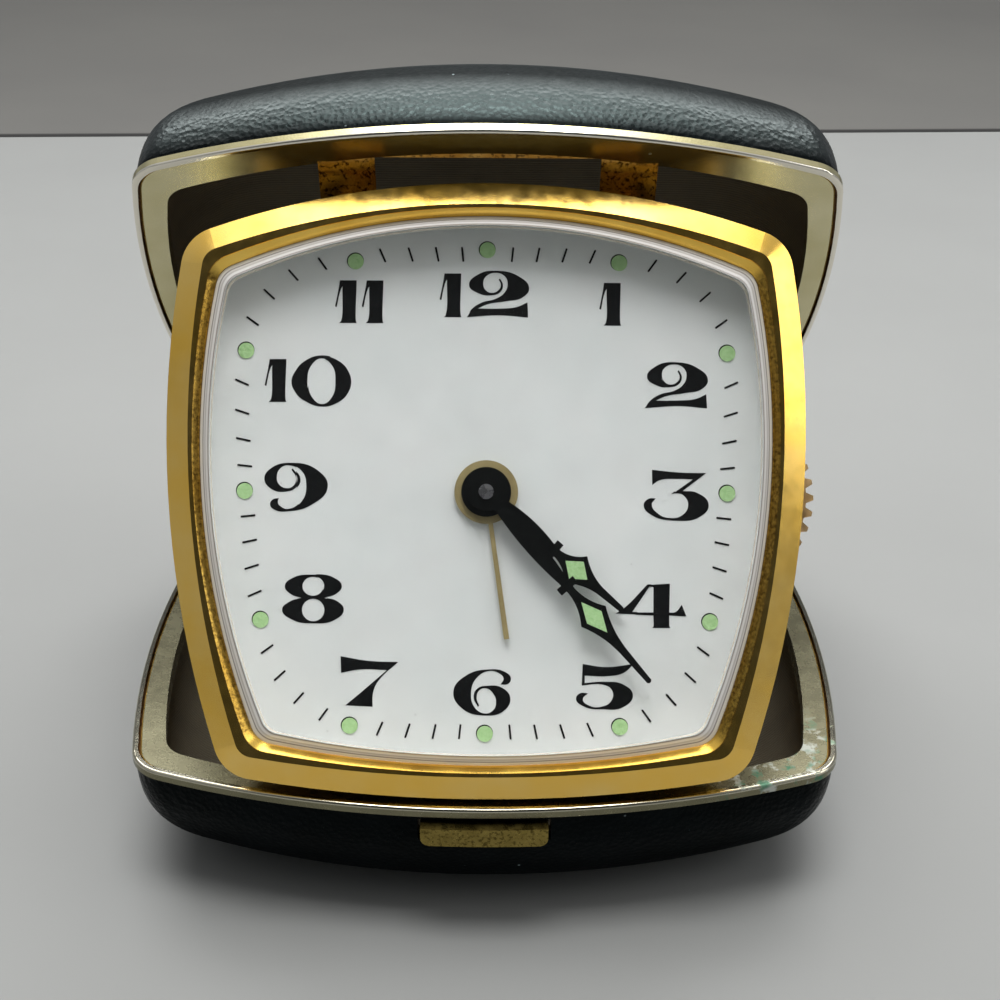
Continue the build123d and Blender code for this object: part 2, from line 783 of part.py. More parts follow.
minute_phase = meshing_phase(cannon_teeth, minute_wheel_teeth, setting_angle)
pinion_phase = meshing_phase(hour_wheel_teeth, minute_pinion_teeth, setting_angle)
nodes["minute_wheel"] = head_place * (
    gear(minute_wheel_teeth, motion_module, 0, minute_wheel_low, minute_wheel_top,
         setting_x, setting_y, minute_phase)
    + gear(minute_pinion_teeth, hour_module, 0, minute_wheel_low, hour_wheel_top,
           setting_x, setting_y, pinion_phase)
    + setting_arbor(setting_x, hour_wheel_top)
    + disc(arbor_radius, knob_face - knob_height / 2, knob_face, setting_x, setting_y)
)
nodes["time_knob"] = head_place * knob(setting_x)
alarm_direction = 180 - setting_angle
alarm_phase = meshing_phase(hour_wheel_teeth, minute_pinion_teeth, alarm_direction)
nodes["alarm_setting_arbor"] = head_place * (
    gear(minute_pinion_teeth, hour_module, 0, alarm_wheel_low, alarm_wheel_top,
         -setting_x, setting_y, alarm_phase)
    + setting_arbor(-setting_x, alarm_wheel_top)
    + disc(arbor_radius, knob_face - knob_height / 2, knob_face, -setting_x, setting_y)
)
nodes["alarm_knob"] = head_place * knob(-setting_x)

# Going train between the plates
front_holes = [(setting_x, setting_y, pivot), (-setting_x, setting_y, pivot), (0, centre_y, pivot)]
back_holes = list(front_holes)
for x, y in ((barrel_x, barrel_y), (third_x, third_y), (balance_x, centre_y + balance_y)):
    front_holes.append((x, y, pivot))
    back_holes.append((x, y, pivot))
nodes["front_plate"] = head_place * movement_plate(front_plate_low, front_holes, True)
nodes["back_plate"] = head_place * movement_plate(back_plate_low, back_holes, False)
pillars = [disc(pillar_radius, -back_plate_depth, front_plate_low, x, y) for x, y in pillar_spots]
nodes["plate_pillars"] = head_place * Compound(children=pillars)
feet = [disc(pillar_radius, -front_plate_depth, dial_base, x, y) for x, y in pillar_spots]
nodes["dial_feet"] = head_place * Compound(children=feet)
screws = []
for x, y in pillar_spots[:case_screw_count]:
    head = disc(screw_head_radius, cup_back - screw_head_height, cup_back, x, y)
    head -= Pos(x, y, cup_back - screw_head_height) * Box(
        screw_head_radius * 2, screw_slot_width, screw_head_height)
    screws.append(head + disc(pillar_radius, cup_inside, back_plate_low, x, y)
                  + disc(screw_radius, cup_back, cup_inside, x, y))
nodes["case_screws"] = head_place * Compound(children=screws)

centre = disc(arbor_radius, back_plate_low, minute_low, 0, centre_y)
centre += gear(
    centre_wheel_teeth, third_module, 0, centre_wheel_low, centre_wheel_top, 0, centre_y
)
centre += gear(centre_pinion_teeth, barrel_module, 0, barrel_low, teeth_top, 0, centre_y)
nodes["centre_wheel"] = head_place * centre
barrel_phase = meshing_phase(centre_pinion_teeth, barrel_teeth, barrel_angle)
drum_radius = barrel_teeth * barrel_module / 2 - 2 * barrel_module
barrel = gear(
    barrel_teeth, barrel_module, 0, barrel_low, teeth_top, barrel_x, barrel_y, barrel_phase
)
barrel += disc(drum_radius, teeth_top, barrel_top, barrel_x, barrel_y)
barrel += disc(arbor_radius, back_plate_low, -front_plate_depth, barrel_x, barrel_y)
nodes["mainspring_barrel"] = head_place * barrel
third_phase = meshing_phase(centre_wheel_teeth, third_pinion_teeth, third_angle)
third = gear(
    third_pinion_teeth, third_module, 0, centre_wheel_low, centre_wheel_top,
    third_x, third_y, third_phase,
)
third += gear(third_wheel_teeth, third_module, 0, barrel_low, barrel_low + wheel_thickness,
              third_x, third_y)
third += disc(arbor_radius, back_plate_low, -front_plate_depth, third_x, third_y)
nodes["third_wheel"] = head_place * third

balance_cy = centre_y + balance_y
balance_level = (front_plate_low - back_plate_depth) / 2
balance = tube(
    balance_radius, balance_radius - balance_rim, balance_level, balance_level + balance_height,
    balance_x, balance_cy,
)
balance += block(
    balance_x - balance_radius + balance_rim / 2, balance_x + balance_radius - balance_rim / 2,
    balance_cy - balance_rim / 2, balance_cy + balance_rim / 2,
    balance_level, balance_level + balance_height,
)
balance += disc(arbor_radius, back_plate_low, -front_plate_depth, balance_x, balance_cy)
nodes["balance_wheel"] = head_place * balance

# Winding wheel on its stud, its coarse teeth showing past the bezel
winding_teeth_face = toothed_rim(winding_teeth, winding_wheel_radius, winding_tooth_height)
wheel = Pos(winding_x, winding_y, winding_low) * extrude(
    winding_teeth_face - Circle(winding_stud_radius + running_gap), winding_wheel_thickness)
nodes["winding_wheel"] = head_place * wheel
collar_low = winding_high + winding_end_play
stud = disc(winding_stud_radius, -back_plate_depth, collar_low, winding_x, winding_y)
stud += disc(winding_collar_radius, collar_low, collar_low + winding_collar_height, winding_x, winding_y)
shoulder_top = winding_low - winding_end_play
stud += disc(
    winding_collar_radius, shoulder_top - winding_collar_height, shoulder_top, winding_x, winding_y
)
nodes["winding_stud"] = head_place * stud

# Alarm stop button on the back
button_face = cup_back - alarm_button_travel - alarm_button_gap
button = disc(button_stem_radius, button_face, cup_inside + alarm_button_gap, button_x, button_y)
button += disc(alarm_button_radius, button_face - alarm_button_height, button_face, button_x, button_y)
nodes["alarm_button"] = head_place * button

# Hinge between the clock head and the lid's free edge
pin_y = head_foot_bulge + head_height + head_hinge_rise
pin_z = -head_hinge_depth
lean, tilt = radians(clock_lean), radians(lid_angle)
pin_back = foot_reach - pin_y * sin(lean) - head_hinge_depth * cos(lean)
pin_up = foot_lift + pin_y * cos(lean) - head_hinge_depth * sin(lean)
pin_reach = pin_back * cos(tilt) + pin_up * sin(tilt)
pin_drop = pin_back * sin(tilt) - pin_up * cos(tilt)
knuckle_low = tab_window_half_width + tab_knuckle_inset
ear_inner = knuckle_low - ear_gap
ear_outer = tab_half_width + ear_gap


def ear(x_low, x_high):
    """Lug on the back of the head, round about the pin."""
    lug = block(
        x_low, x_high, pin_y - head_knuckle_radius, pin_y + head_knuckle_radius,
        pin_z, cup_face - cup_flange,
    )
    lug += rod_along_x(head_knuckle_radius, x_low, x_high, pin_y, pin_z)
    return lug - rod_along_x(head_pin_radius, x_low - cut_overrun, x_high + cut_overrun, pin_y, pin_z)


ears = [
    ear(ear_inner - ear_width, ear_inner), ear(-ear_inner, -ear_inner + ear_width),
    ear(ear_outer, ear_outer + ear_width), ear(-ear_outer - ear_width, -ear_outer),
]
nodes["head_hinge_ears"] = head_place * Compound(children=ears)
nodes["head_hinge_pin"] = head_place * rod_along_x(
    head_pin_radius, -ear_outer - ear_width, ear_outer + ear_width, pin_y, pin_z
)


def strip(y_start, z_start, y_end, z_end, half):
    """Flat strip across the lid between two lines parallel with the hinge."""
    run = hypot(y_end - y_start, z_end - z_start)
    middle = Pos(0, (y_start + y_end) / 2, (z_start + z_end) / 2)
    turn = degrees(atan2(z_end - z_start, y_end - y_start))
    return middle * Rot(turn, 0, 0) * Box(half * 2, run, tab_thickness)


def make_tab():
    """Pressed tab on the lip of the lid's front flange, pierced, and rolled about the pin."""
    flange_edge = front_edge + bead_width + groove_width + lid_front_flange_width
    under = -rim_base - tab_thickness / 2
    bend_y, bend_z = -pin_reach - tab_bend_reach, pin_drop - tab_bend_drop
    slope = atan2(pin_drop - bend_z, -pin_reach - bend_y)
    offset = head_knuckle_radius - tab_thickness / 2
    root_y, root_z = -pin_reach + offset * sin(slope), pin_drop - offset * cos(slope)
    ramp = strip(flange_edge - tab_thickness, under, bend_y, bend_z, tab_half_width)
    drop = strip(bend_y, bend_z, root_y, root_z, tab_half_width)
    barrel = rod_along_x(head_knuckle_radius, -tab_half_width, tab_half_width, -pin_reach, pin_drop)
    tab = ramp + drop + barrel
    extra = lid_front_flange_width - flange_width
    opening_inset = bead_width + groove_width + flange_width
    frame = slab(case_outline(0, case_corner), -case_depth, -flange_drop)
    frame -= slab(
        case_outline(opening_inset, opening_corner_radius, extra),
        -case_depth - cut_overrun, cut_overrun,
    )
    tab -= frame
    tab -= rod_along_x(
        head_pin_radius + running_gap, -case_length, case_length, -pin_reach, pin_drop
    )
    tab -= block(
        -knuckle_low, knuckle_low, flange_edge + tab_window_margin, 0, -case_depth, case_depth
    )
    return tab


nodes["hinge_tab"] = lid_place * make_tab()

for name, solid in nodes.items():
    export_step(solid, f"parts/{name}.step")
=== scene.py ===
import json
import math

import bpy
from mathutils import Matrix, Vector


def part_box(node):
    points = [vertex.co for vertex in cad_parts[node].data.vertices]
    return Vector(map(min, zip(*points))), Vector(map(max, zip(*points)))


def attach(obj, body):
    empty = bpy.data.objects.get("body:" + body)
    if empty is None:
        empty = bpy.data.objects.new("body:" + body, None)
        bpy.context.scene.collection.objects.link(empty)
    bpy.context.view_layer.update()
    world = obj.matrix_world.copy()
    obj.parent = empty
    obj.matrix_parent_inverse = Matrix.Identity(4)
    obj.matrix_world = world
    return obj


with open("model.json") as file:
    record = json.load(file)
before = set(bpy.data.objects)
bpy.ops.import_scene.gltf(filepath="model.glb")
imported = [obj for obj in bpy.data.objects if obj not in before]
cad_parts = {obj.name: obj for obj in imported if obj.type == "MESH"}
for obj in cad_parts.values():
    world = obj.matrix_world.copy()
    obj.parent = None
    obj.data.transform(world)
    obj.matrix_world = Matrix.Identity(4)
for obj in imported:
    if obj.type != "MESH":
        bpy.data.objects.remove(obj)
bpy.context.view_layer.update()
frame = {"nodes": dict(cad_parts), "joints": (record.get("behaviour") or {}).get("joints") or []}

nodes = frame["nodes"]
joints = {joint["name"]: joint for joint in frame["joints"]}
print("frame loaded:", len(nodes), "solid parts")


# Small helpers

def mm(length):
    return length / 1000  # the scene is in metres, real sizes read better in millimetres


weldGap = 0.002  # corners nearer than this are merged, in millimetres


def deselectAll():
    active = bpy.context.view_layer.objects.active
    if active and active.mode != "OBJECT":
        bpy.ops.object.mode_set(mode="OBJECT")
    for piece in bpy.context.selected_objects:
        piece.select_set(False)


def pick(*pieces):
    deselectAll()
    for piece in pieces:
        piece.select_set(True)
    bpy.context.view_layer.objects.active = pieces[0]


def middle(nodeName):
    low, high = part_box(nodeName)
    return (low + high) / 2


def farthest(nodeName, direction):
    return max(vertex.co.dot(direction) for vertex in nodes[nodeName].data.vertices)


def planeMatrix(origin, right, up, out):
    place = Matrix((right, up, out)).transposed().to_4x4()
    place.translation = origin
    return place


def flatNormal(nodeName, towards):
    # the direction that most of a part's flat area faces, on the side asked for
    areas = {}
    for face in nodes[nodeName].data.polygons:
        if face.normal.dot(towards) > 0:
            key = tuple(round(value, 3) for value in face.normal)
            areas[key] = areas.get(key, 0) + face.area
    return Vector(max(areas, key=areas.get)).normalized()


# Working planes: the dial seen square on, and the closing plane of each case half

faceOut = Vector(joints["minute_spin"]["axis"]).normalized()
if faceOut.y > 0:
    faceOut = -faceOut  # towards the viewer
faceRight = Vector((1, 0, 0))
faceUp = faceOut.cross(faceRight)
dialCentre = middle("centre_cap")
dialCentre = dialCentre + faceOut * (farthest("dial", faceOut) - dialCentre.dot(faceOut))
dialPlace = planeMatrix(dialCentre, faceRight, faceUp, faceOut)

hingePoint = Vector(joints["lid_hinge"]["pos_m"])
lowerPlace = planeMatrix(hingePoint, Vector((1, 0, 0)), Vector((0, 1, 0)), Vector((0, 0, 1)))
lidOut = flatNormal("lid_frame", dialCentre - middle("lid_frame"))
lidPlace = planeMatrix(hingePoint, Vector((-1, 0, 0)), lidOut.cross(Vector((-1, 0, 0))), lidOut)
print("lid opens", round(math.degrees(math.acos(-lidOut.z)), 1), "degrees")


# Materials

def hexColour(text):
    # turns an sRGB hex value to linear by the sRGB curve
    linear = []
    for place in (1, 3, 5):
        value = int(text[place:place + 2], 16) / 255
        linear.append(value / 12.92 if value <= 0.04045 else ((value + 0.055) / 1.055) ** 2.4)
    return (*linear, 1)


def addNode(tree, kind, settings=None, links=None):
    # settings are the node's own or its inputs', with colours in hex; a link comes from an output,
    # or from a node, which gives its first output in use
    node = tree.nodes.new("ShaderNode" + kind)
    for key, value in (settings or {}).items():
        if isinstance(key, int) or key in node.inputs:
            node.inputs[key].default_value = hexColour(value) if isinstance(value, str) else value
        else:
            setattr(node, key, value)
    for key, source in (links or {}).items():
        if isinstance(source, bpy.types.Node):
            source = next(output for output in source.outputs if output.enabled)
        tree.links.new(source, node.inputs[key])
    return node


def startMaterial(name, place=None):
    # an empty tree and Object coordinates, turned into a working plane where one is given
    material = bpy.data.materials.new(name)
    material.use_nodes = True
    tree = material.node_tree
    tree.nodes.clear()
    coords = addNode(tree, "TexCoord").outputs["Object"]
    if place is not None:
        coords = addNode(tree, "Mapping", {
            "vector_type": "TEXTURE", "Location": place.translation, "Rotation": place.to_euler(),
        }, {"Vector": coords})
    return material, tree, coords


def faceWay(tree, place):
    # the way that a face looks, told in a working plane
    normal = addNode(tree, "TexCoord").outputs["Normal"]
    return addNode(tree, "Mapping", {
        "vector_type": "VECTOR", "Rotation": place.inverted().to_euler(),
    }, {"Vector": normal})


noiseSpan = (0.3, 0.7)  # nearly all of a noise lies between these
noiseRoughness = 0.55


def mottle(tree, coords, size, span=noiseSpan, reach=(0, 1), detail=4, roughness=noiseRoughness):
    # blotches of a size in millimetres, going from one value of reach to the other
    noise = addNode(tree, "TexNoise", {
        "Scale": 1 / mm(size), "Detail": detail, "Roughness": roughness,
    }, {"Vector": coords})
    return addNode(tree, "MapRange", {
        "From Min": span[0], "From Max": span[1], "To Min": reach[0], "To Max": reach[1],
    }, {"Value": noise})


def fadeAlong(tree, coords, way, ends, reach=(0, 1)):
    # goes from one value of reach to the other between two places along a way, in millimetres
    along = addNode(tree, "SeparateXYZ", {}, {"Vector": coords}).outputs[way]
    return addNode(tree, "MapRange", {
        "From Min": mm(ends[0]), "From Max": mm(ends[1]), "To Min": reach[0], "To Max": reach[1],
    }, {"Value": along})


def specks(tree, coords, facts):
    # small round spots, left only where a coarser noise runs high
    cells = addNode(tree, "TexVoronoi", {"Scale": 1 / mm(facts["speck"])}, {"Vector": coords})
    spots = addNode(tree, "MapRange", {
        "From Min": facts["speckEdge"][0], "From Max": facts["speckEdge"][1]}, {"Value": cells})
    patches = mottle(tree, coords, facts["group"], facts["groupSpan"], detail=2)
    return addNode(tree, "Math", {"operation": "MULTIPLY"}, {0: spots, 1: patches})


def noiseRelief(tree, coords, facts):
    # fine unevenness of the surface, from a noise of the real grain's size
    noise = addNode(tree, "TexNoise", {
        "Scale": 1 / mm(facts["grain"]), "Detail": facts["grainDetail"], "Roughness": noiseRoughness,
    }, {"Vector": coords})
    return addNode(tree, "Bump", {
        "Strength": facts["strength"], "Distance": mm(facts["depth"])}, {"Height": noise})


# In a colour Mix, input 0 is the amount and inputs 6 and 7 are the two colours

def makeLeathercloth(name, place, shine, handled):
    # PVC-coated cloth with a fine leather grain: near black, dull where it rolls in under the bead,
    # and polished by handling on the shoulder just behind it
    facts = {
        "grain": 0.55, "crease": 0.9, "bloom": 7.0, "bloomSpan": (0.35, 0.65), "depth": 0.1,
        "speck": 1.7, "speckEdge": (0.09, 0.05), "group": 3.1, "groupSpan": (0.58, 0.62),
        # heights from the closing plane, in millimetres
        "tuck": (-3.2, -1.6), "shoulder": (-5.2, -8.6), "back": (-13.5, -10.5),
        "creaseRough": (0.24, 0.34), "mattRough": 0.34, "mattAtBack": 0.25,
        "mattShine": 0.2, "tuckShine": 0.06,  # shares of the shine
    }
    material, tree, coords = startMaterial(name, place)
    grain = addNode(tree, "TexVoronoi", {"Scale": 1 / mm(facts["grain"])}, {"Vector": coords})
    crease = addNode(tree, "TexNoise", {
        "Scale": 1 / mm(facts["crease"]), "Detail": 4, "Roughness": noiseRoughness}, {"Vector": coords})
    height = addNode(tree, "Math", {"operation": "ADD"}, {0: grain, 1: crease})
    relief = addNode(tree, "Bump", {"Strength": 0.55, "Distance": mm(facts["depth"])}, {"Height": height})

    bloom = mottle(tree, coords, facts["bloom"], facts["bloomSpan"], detail=3)
    cloth = addNode(tree, "Mix", {"data_type": "RGBA", 6: "#030506", 7: "#080c0e"}, {0: bloom})
    scuffs = specks(tree, coords, facts)
    colour = addNode(tree, "Mix", {"data_type": "RGBA", 7: "#8d9a9c"}, {0: scuffs, 6: cloth})

    behind = fadeAlong(tree, coords, "Z", facts["shoulder"])
    farBack = fadeAlong(tree, coords, "Z", facts["back"], (facts["mattAtBack"], 1))
    matt = addNode(tree, "Math", {"operation": "MULTIPLY"}, {0: behind, 1: farBack})
    creased = addNode(tree, "MapRange", {
        "From Min": noiseSpan[0], "From Max": noiseSpan[1],
        "To Min": facts["creaseRough"][0], "To Max": facts["creaseRough"][1],
    }, {"Value": crease})
    rough = addNode(tree, "Math", {
        "operation": "MULTIPLY_ADD", 1: facts["mattRough"]}, {0: matt, 2: creased})
    links = {"Base Color": colour, "Roughness": rough, "Normal": relief}
    if handled:
        tucked = fadeAlong(tree, coords, "Z", facts["tuck"], (shine, shine * facts["tuckShine"]))
        worn = addNode(tree, "MapRange", {"To Min": 1, "To Max": facts["mattShine"]}, {"Value": matt})
        links["Specular IOR Level"] = addNode(tree, "Math", {
            "operation": "MULTIPLY"}, {0: tucked, 1: worn})
    surface = addNode(tree, "BsdfPrincipled", {
        "Roughness": 0.34, "IOR": 1.52, "Specular IOR Level": shine, "Specular Tint": "#c4e0dd"}, links)
    addNode(tree, "OutputMaterial", {}, {"Surface": surface})
    return material


def makeNickel(name, place, colours, flangeRough, verdigris=0.0):
    # nickel-plated steel: bright rolled bead, flat flange gone satin and olive with age, a few rust pits
    facts = {
        "beadLine": -0.33,  # the bead lies above this height, in millimetres
        "patina": 9.0, "cloud": 1.3,
        # brush marks, coarser than real ones so that they show
        "grain": 0.25, "grainDetail": 3, "depth": 0.012, "strength": 0.5,
        "speck": 2.3, "speckEdge": (0.10, 0.06), "group": 2.6, "groupSpan": (0.64, 0.67),  # pits
        "beadRough": 0.5, "roughSpread": (0.9, 1.1), "pitRough": 0.4, "pitMetal": 0.6,
        # the bloom of verdigris, its middle in the closing plane
        "bloomPlace": (30.5, -64.0), "bloomReach": (11.0, 4.4), "crust": 1.6, "crustSpan": (0.52, 0.60),
        "salts": 2.9, "saltSpan": (0.45, 0.55),
    }
    material, tree, coords = startMaterial(name, place)
    height = addNode(tree, "SeparateXYZ", {}, {"Vector": coords}).outputs["Z"]
    onBead = addNode(tree, "Math", {"operation": "GREATER_THAN", 1: mm(facts["beadLine"])}, {0: height})
    patina = mottle(tree, coords, facts["patina"])
    flange = addNode(tree, "Mix", {
        "data_type": "RGBA", 6: colours["flangeDark"], 7: colours["flangeLight"]}, {0: patina})
    plate = addNode(tree, "Mix", {"data_type": "RGBA", 7: colours["bead"]}, {0: onBead, 6: flange})
    pits = specks(tree, coords, facts)
    colour = addNode(tree, "Mix", {"data_type": "RGBA", 7: "#6d5a3c"}, {0: pits, 6: plate})
    if verdigris:
        middleX, middleY = facts["bloomPlace"]
        away = addNode(tree, "VectorMath", {
            "operation": "DISTANCE", 1: (mm(middleX), mm(middleY), 0)}, {0: coords})
        near = addNode(tree, "MapRange", {
            "From Min": mm(facts["bloomReach"][0]), "From Max": mm(facts["bloomReach"][1])}, {"Value": away})
        crust = mottle(tree, coords, facts["crust"], facts["crustSpan"], detail=5, roughness=0.65)
        crust = addNode(tree, "Math", {"operation": "MULTIPLY"}, {0: crust, 1: near})
        crust = addNode(tree, "Math", {"operation": "MULTIPLY", 1: verdigris}, {0: crust})
        salts = mottle(tree, coords, facts["salts"], facts["saltSpan"], detail=2)
        greens = addNode(tree, "Mix", {"data_type": "RGBA", 6: "#3f7f63", 7: "#c9cec6"}, {0: salts})
        colour = addNode(tree, "Mix", {"data_type": "RGBA"}, {0: crust, 6: colour, 7: greens})
        pits = addNode(tree, "Math", {"operation": "MAXIMUM"}, {0: pits, 1: crust})
    least, most = facts["roughSpread"]
    cloudy = mottle(tree, coords, facts["cloud"], reach=(flangeRough * least, flangeRough * most))
    beadShare = addNode(tree, "MapRange", {"To Min": 1, "To Max": facts["beadRough"]}, {"Value": onBead})
    rough = addNode(tree, "Math", {"operation": "MULTIPLY"}, {0: cloudy, 1: beadShare})
    rough = addNode(tree, "Math", {
        "operation": "MULTIPLY_ADD", 1: facts["pitRough"]}, {0: pits, 2: rough})
    metallic = addNode(tree, "Math", {
        "operation": "MULTIPLY_ADD", 1: -facts["pitMetal"], 2: 1}, {0: pits})
    surface = addNode(tree, "BsdfPrincipled", {"Metallic": 1, "Roughness": 0.25}, {
        "Base Color": colour, "Roughness": rough, "Metallic": metallic,
        "Normal": noiseRelief(tree, coords, facts)})
    addNode(tree, "OutputMaterial", {}, {"Surface": surface})
    return material


def makeGilt(name, place):
    # gold-lacquered brass, spun and polished: warm yellow; the inner step is a touch deeper and has brown
    # flecks along its sides, both painted shade
    facts = {
        "cloud": 6.0, "fleck": 0.35, "fleckSpan": (0.35, 0.62), "fleckReach": (0.95, 0.55),
        "inwardLean": -4.0,  # a face looks inwards where its place, along its way, is less than this
        "sideways": (0.45, 0.62), "wear": 1.4, "wornRough": (0.13, 0.24),
        # spinning marks, coarser than real ones so that they show
        "grain": 0.12, "grainDetail": 2, "depth": 0.006, "strength": 0.4,
    }
    material, tree, coords = startMaterial(name, place)
    normal = faceWay(tree, place)
    flat = addNode(tree, "VectorMath", {"operation": "MULTIPLY", 1: (1, 1, 0)}, {0: coords})
    lean = addNode(tree, "VectorMath", {"operation": "DOT_PRODUCT"}, {0: flat, 1: normal})
    inward = addNode(tree, "Math", {"operation": "LESS_THAN", 1: mm(facts["inwardLean"])}, {0: lean})
    cloud = mottle(tree, coords, facts["cloud"], detail=3)
    outside = addNode(tree, "Mix", {"data_type": "RGBA", 6: "#fccb5a", 7: "#fbd378"}, {0: cloud})
    inside = addNode(tree, "Mix", {"data_type": "RGBA", 6: "#f2c152", 7: "#fad268"}, {0: cloud})

    # painted shade: brown flecks on the inward faces along both sides
    across = addNode(tree, "SeparateXYZ", {}, {"Vector": normal}).outputs["X"]
    across = addNode(tree, "Math", {"operation": "ABSOLUTE"}, {0: across})
    sideways = addNode(tree, "MapRange", {
        "From Min": facts["sideways"][0], "From Max": facts["sideways"][1]}, {"Value": across})
    flecks = mottle(tree, coords, facts["fleck"], facts["fleckSpan"], facts["fleckReach"], roughness=0.7)
    brown = addNode(tree, "Math", {"operation": "MULTIPLY"}, {0: sideways, 1: flecks})
    inside = addNode(tree, "Mix", {"data_type": "RGBA", 7: "#4a3210"}, {0: brown, 6: inside})
    colour = addNode(tree, "Mix", {"data_type": "RGBA"}, {0: inward, 6: outside, 7: inside})
    surface = addNode(tree, "BsdfPrincipled", {"Metallic": 1, "Roughness": 0.17}, {
        "Base Color": colour, "Roughness": mottle(tree, coords, facts["wear"], reach=facts["wornRough"]),
        "Normal": noiseRelief(tree, coords, facts)})
    addNode(tree, "OutputMaterial", {}, {"Surface": surface})
    return material


def makeMetal(name, light, dark, rough, grain=0.2, speckle=None):
    # plain turned or pressed metal: fine tool marks, uneven tarnish, and dark speckles: lost plating, but
    # painted dark reflections on the gilt tab
    facts = {
        "tarnish": 2.8, "wear": 0.9, "wearSpread": (0.8, 1.4), "spot": 0.45, "spotSpan": (0.52, 0.60),
        # tool marks, coarser than real ones so that they show
        "grain": grain, "grainDetail": 3, "depth": 0.01, "strength": 0.4,
    }
    material, tree, coords = startMaterial(name)
    tarnish = mottle(tree, coords, facts["tarnish"])
    colour = addNode(tree, "Mix", {"data_type": "RGBA", 6: light, 7: dark}, {0: tarnish})
    if speckle:
        spots = mottle(tree, coords, facts["spot"], facts["spotSpan"], roughness=0.7)
        colour = addNode(tree, "Mix", {"data_type": "RGBA", 7: speckle}, {0: spots, 6: colour})
    least, most = facts["wearSpread"]
    worn = mottle(tree, coords, facts["wear"], reach=(rough * least, rough * most), detail=3)
    surface = addNode(tree, "BsdfPrincipled", {"Metallic": 1, "Roughness": rough}, {
        "Base Color": colour, "Roughness": worn, "Normal": noiseRelief(tree, coords, facts)})
    addNode(tree, "OutputMaterial", {}, {"Surface": surface})
    return material


def makeLining(name, place):
    # ribbed rayon glued to the pan: dark brown-olive, the ribs run from side to side
    facts = {
        "rib": 0.42, "thread": 0.16, "depth": 0.08, "paintedCrestSheen": 0.5,
        "dust": 5.0, "dustSpan": (0.35, 0.7),
    }
    material, tree, coords = startMaterial(name, place)
    ribs = addNode(tree, "TexWave", {
        "wave_type": "BANDS", "bands_direction": "Y", "Distortion": 0.25, "Detail": 2, "Detail Scale": 3,
        "Scale": math.tau / 20 / mm(facts["rib"]),  # this node's bands are tau / 20 apart at scale 1
    }, {"Vector": coords}).outputs["Fac"]
    weave = addNode(tree, "TexNoise", {
        "Scale": 1 / mm(facts["thread"]), "Detail": 3, "Roughness": noiseRoughness}, {"Vector": coords})
    height = addNode(tree, "Math", {"operation": "ADD"}, {0: ribs, 1: weave})
    relief = addNode(tree, "Bump", {"Strength": 0.6, "Distance": mm(facts["depth"])}, {"Height": height})
    dust = mottle(tree, coords, facts["dust"], facts["dustSpan"])
    cloth = addNode(tree, "Mix", {"data_type": "RGBA", 6: "#544e40", 7: "#645c4b"}, {0: dust})
    # painted sheen: the rib crests are given a lighter colour, as if they caught the light
    crests = addNode(tree, "Math", {"operation": "MULTIPLY", 1: facts["paintedCrestSheen"]}, {0: ribs})
    colour = addNode(tree, "Mix", {"data_type": "RGBA", 7: "#7a725e"}, {0: crests, 6: cloth})
    surface = addNode(tree, "BsdfPrincipled", {
        "Roughness": 0.85, "Sheen Weight": 0.2, "Sheen Roughness": 0.5, "Sheen Tint": "#8b8070",
    }, {"Base Color": colour, "Normal": relief})
    addNode(tree, "OutputMaterial", {}, {"Surface": surface})
    return material


def makeDialPaint():
    # sprayed cellulose enamel on a thin brass dial: cool white with the faintest orange peel
    facts = {
        "cloud": 9.0, "fleck": 3.4, "fleckEdge": (0.035, 0.02), "fleckDepth": 0.35,
        "grain": 0.35, "grainDetail": 2, "depth": 0.01, "strength": 0.3,  # orange peel
    }
    material, tree, coords = startMaterial("dial_enamel_white", dialPlace)
    cloud = mottle(tree, coords, facts["cloud"], detail=3)
    white = addNode(tree, "Mix", {"data_type": "RGBA", 6: "#dfe8e6", 7: "#e6edeb"}, {0: cloud})
    cells = addNode(tree, "TexVoronoi", {"Scale": 1 / mm(facts["fleck"])}, {"Vector": coords})
    flecks = addNode(tree, "MapRange", {
        "From Min": facts["fleckEdge"][0], "From Max": facts["fleckEdge"][1],
        "To Max": facts["fleckDepth"],
    }, {"Value": cells})
    colour = addNode(tree, "Mix", {"data_type": "RGBA", 7: "#8a8d8a"}, {0: flecks, 6: white})
    surface = addNode(tree, "BsdfPrincipled", {
        "Roughness": 0.42, "IOR": 1.5, "Coat Weight": 0.15, "Coat Roughness": 0.3,
    }, {"Base Color": colour, "Normal": noiseRelief(tree, coords, facts)})
    addNode(tree, "OutputMaterial", {}, {"Surface": surface})
    return material


def makeCoat(name, settings, facts):
    # a coat of paint or ink over all of a piece: two near shades in soft patches, and a fine relief
    material, tree, coords = startMaterial(name)
    patches = mottle(tree, coords, facts["patch"], facts.get("span", noiseSpan), detail=facts["patchDetail"])
    first, second = facts["shades"]
    colour = addNode(tree, "Mix", {"data_type": "RGBA", 6: first, 7: second}, {0: patches})
    surface = addNode(tree, "BsdfPrincipled", settings, {
        "Base Color": colour, "Normal": noiseRelief(tree, coords, facts)})
    addNode(tree, "OutputMaterial", {}, {"Surface": surface})
    return material


def makeInk():
    # screen-printed black ink, slightly proud of the enamel and a touch uneven
    return makeCoat("printing_ink_black", {"Roughness": 0.5, "IOR": 1.5, "Specular IOR Level": 0.15}, {
        "shades": ("#060808", "#0d1011"), "patch": 0.7, "patchDetail": 3, "span": (0.35, 0.7),
        "grain": 0.15, "grainDetail": 2, "depth": 0.008, "strength": 0.4})


def makeLume():
    # luminous paint: chalky pale green, granular, dabbed on by hand
    return makeCoat("luminous_paint_green", {"Roughness": 0.75, "IOR": 1.5}, {
        "shades": ("#9fd08c", "#b9e2a6"), "patch": 0.35, "patchDetail": 4,
        "grain": 0.3, "grainDetail": 4, "depth": 0.12, "strength": 0.8})


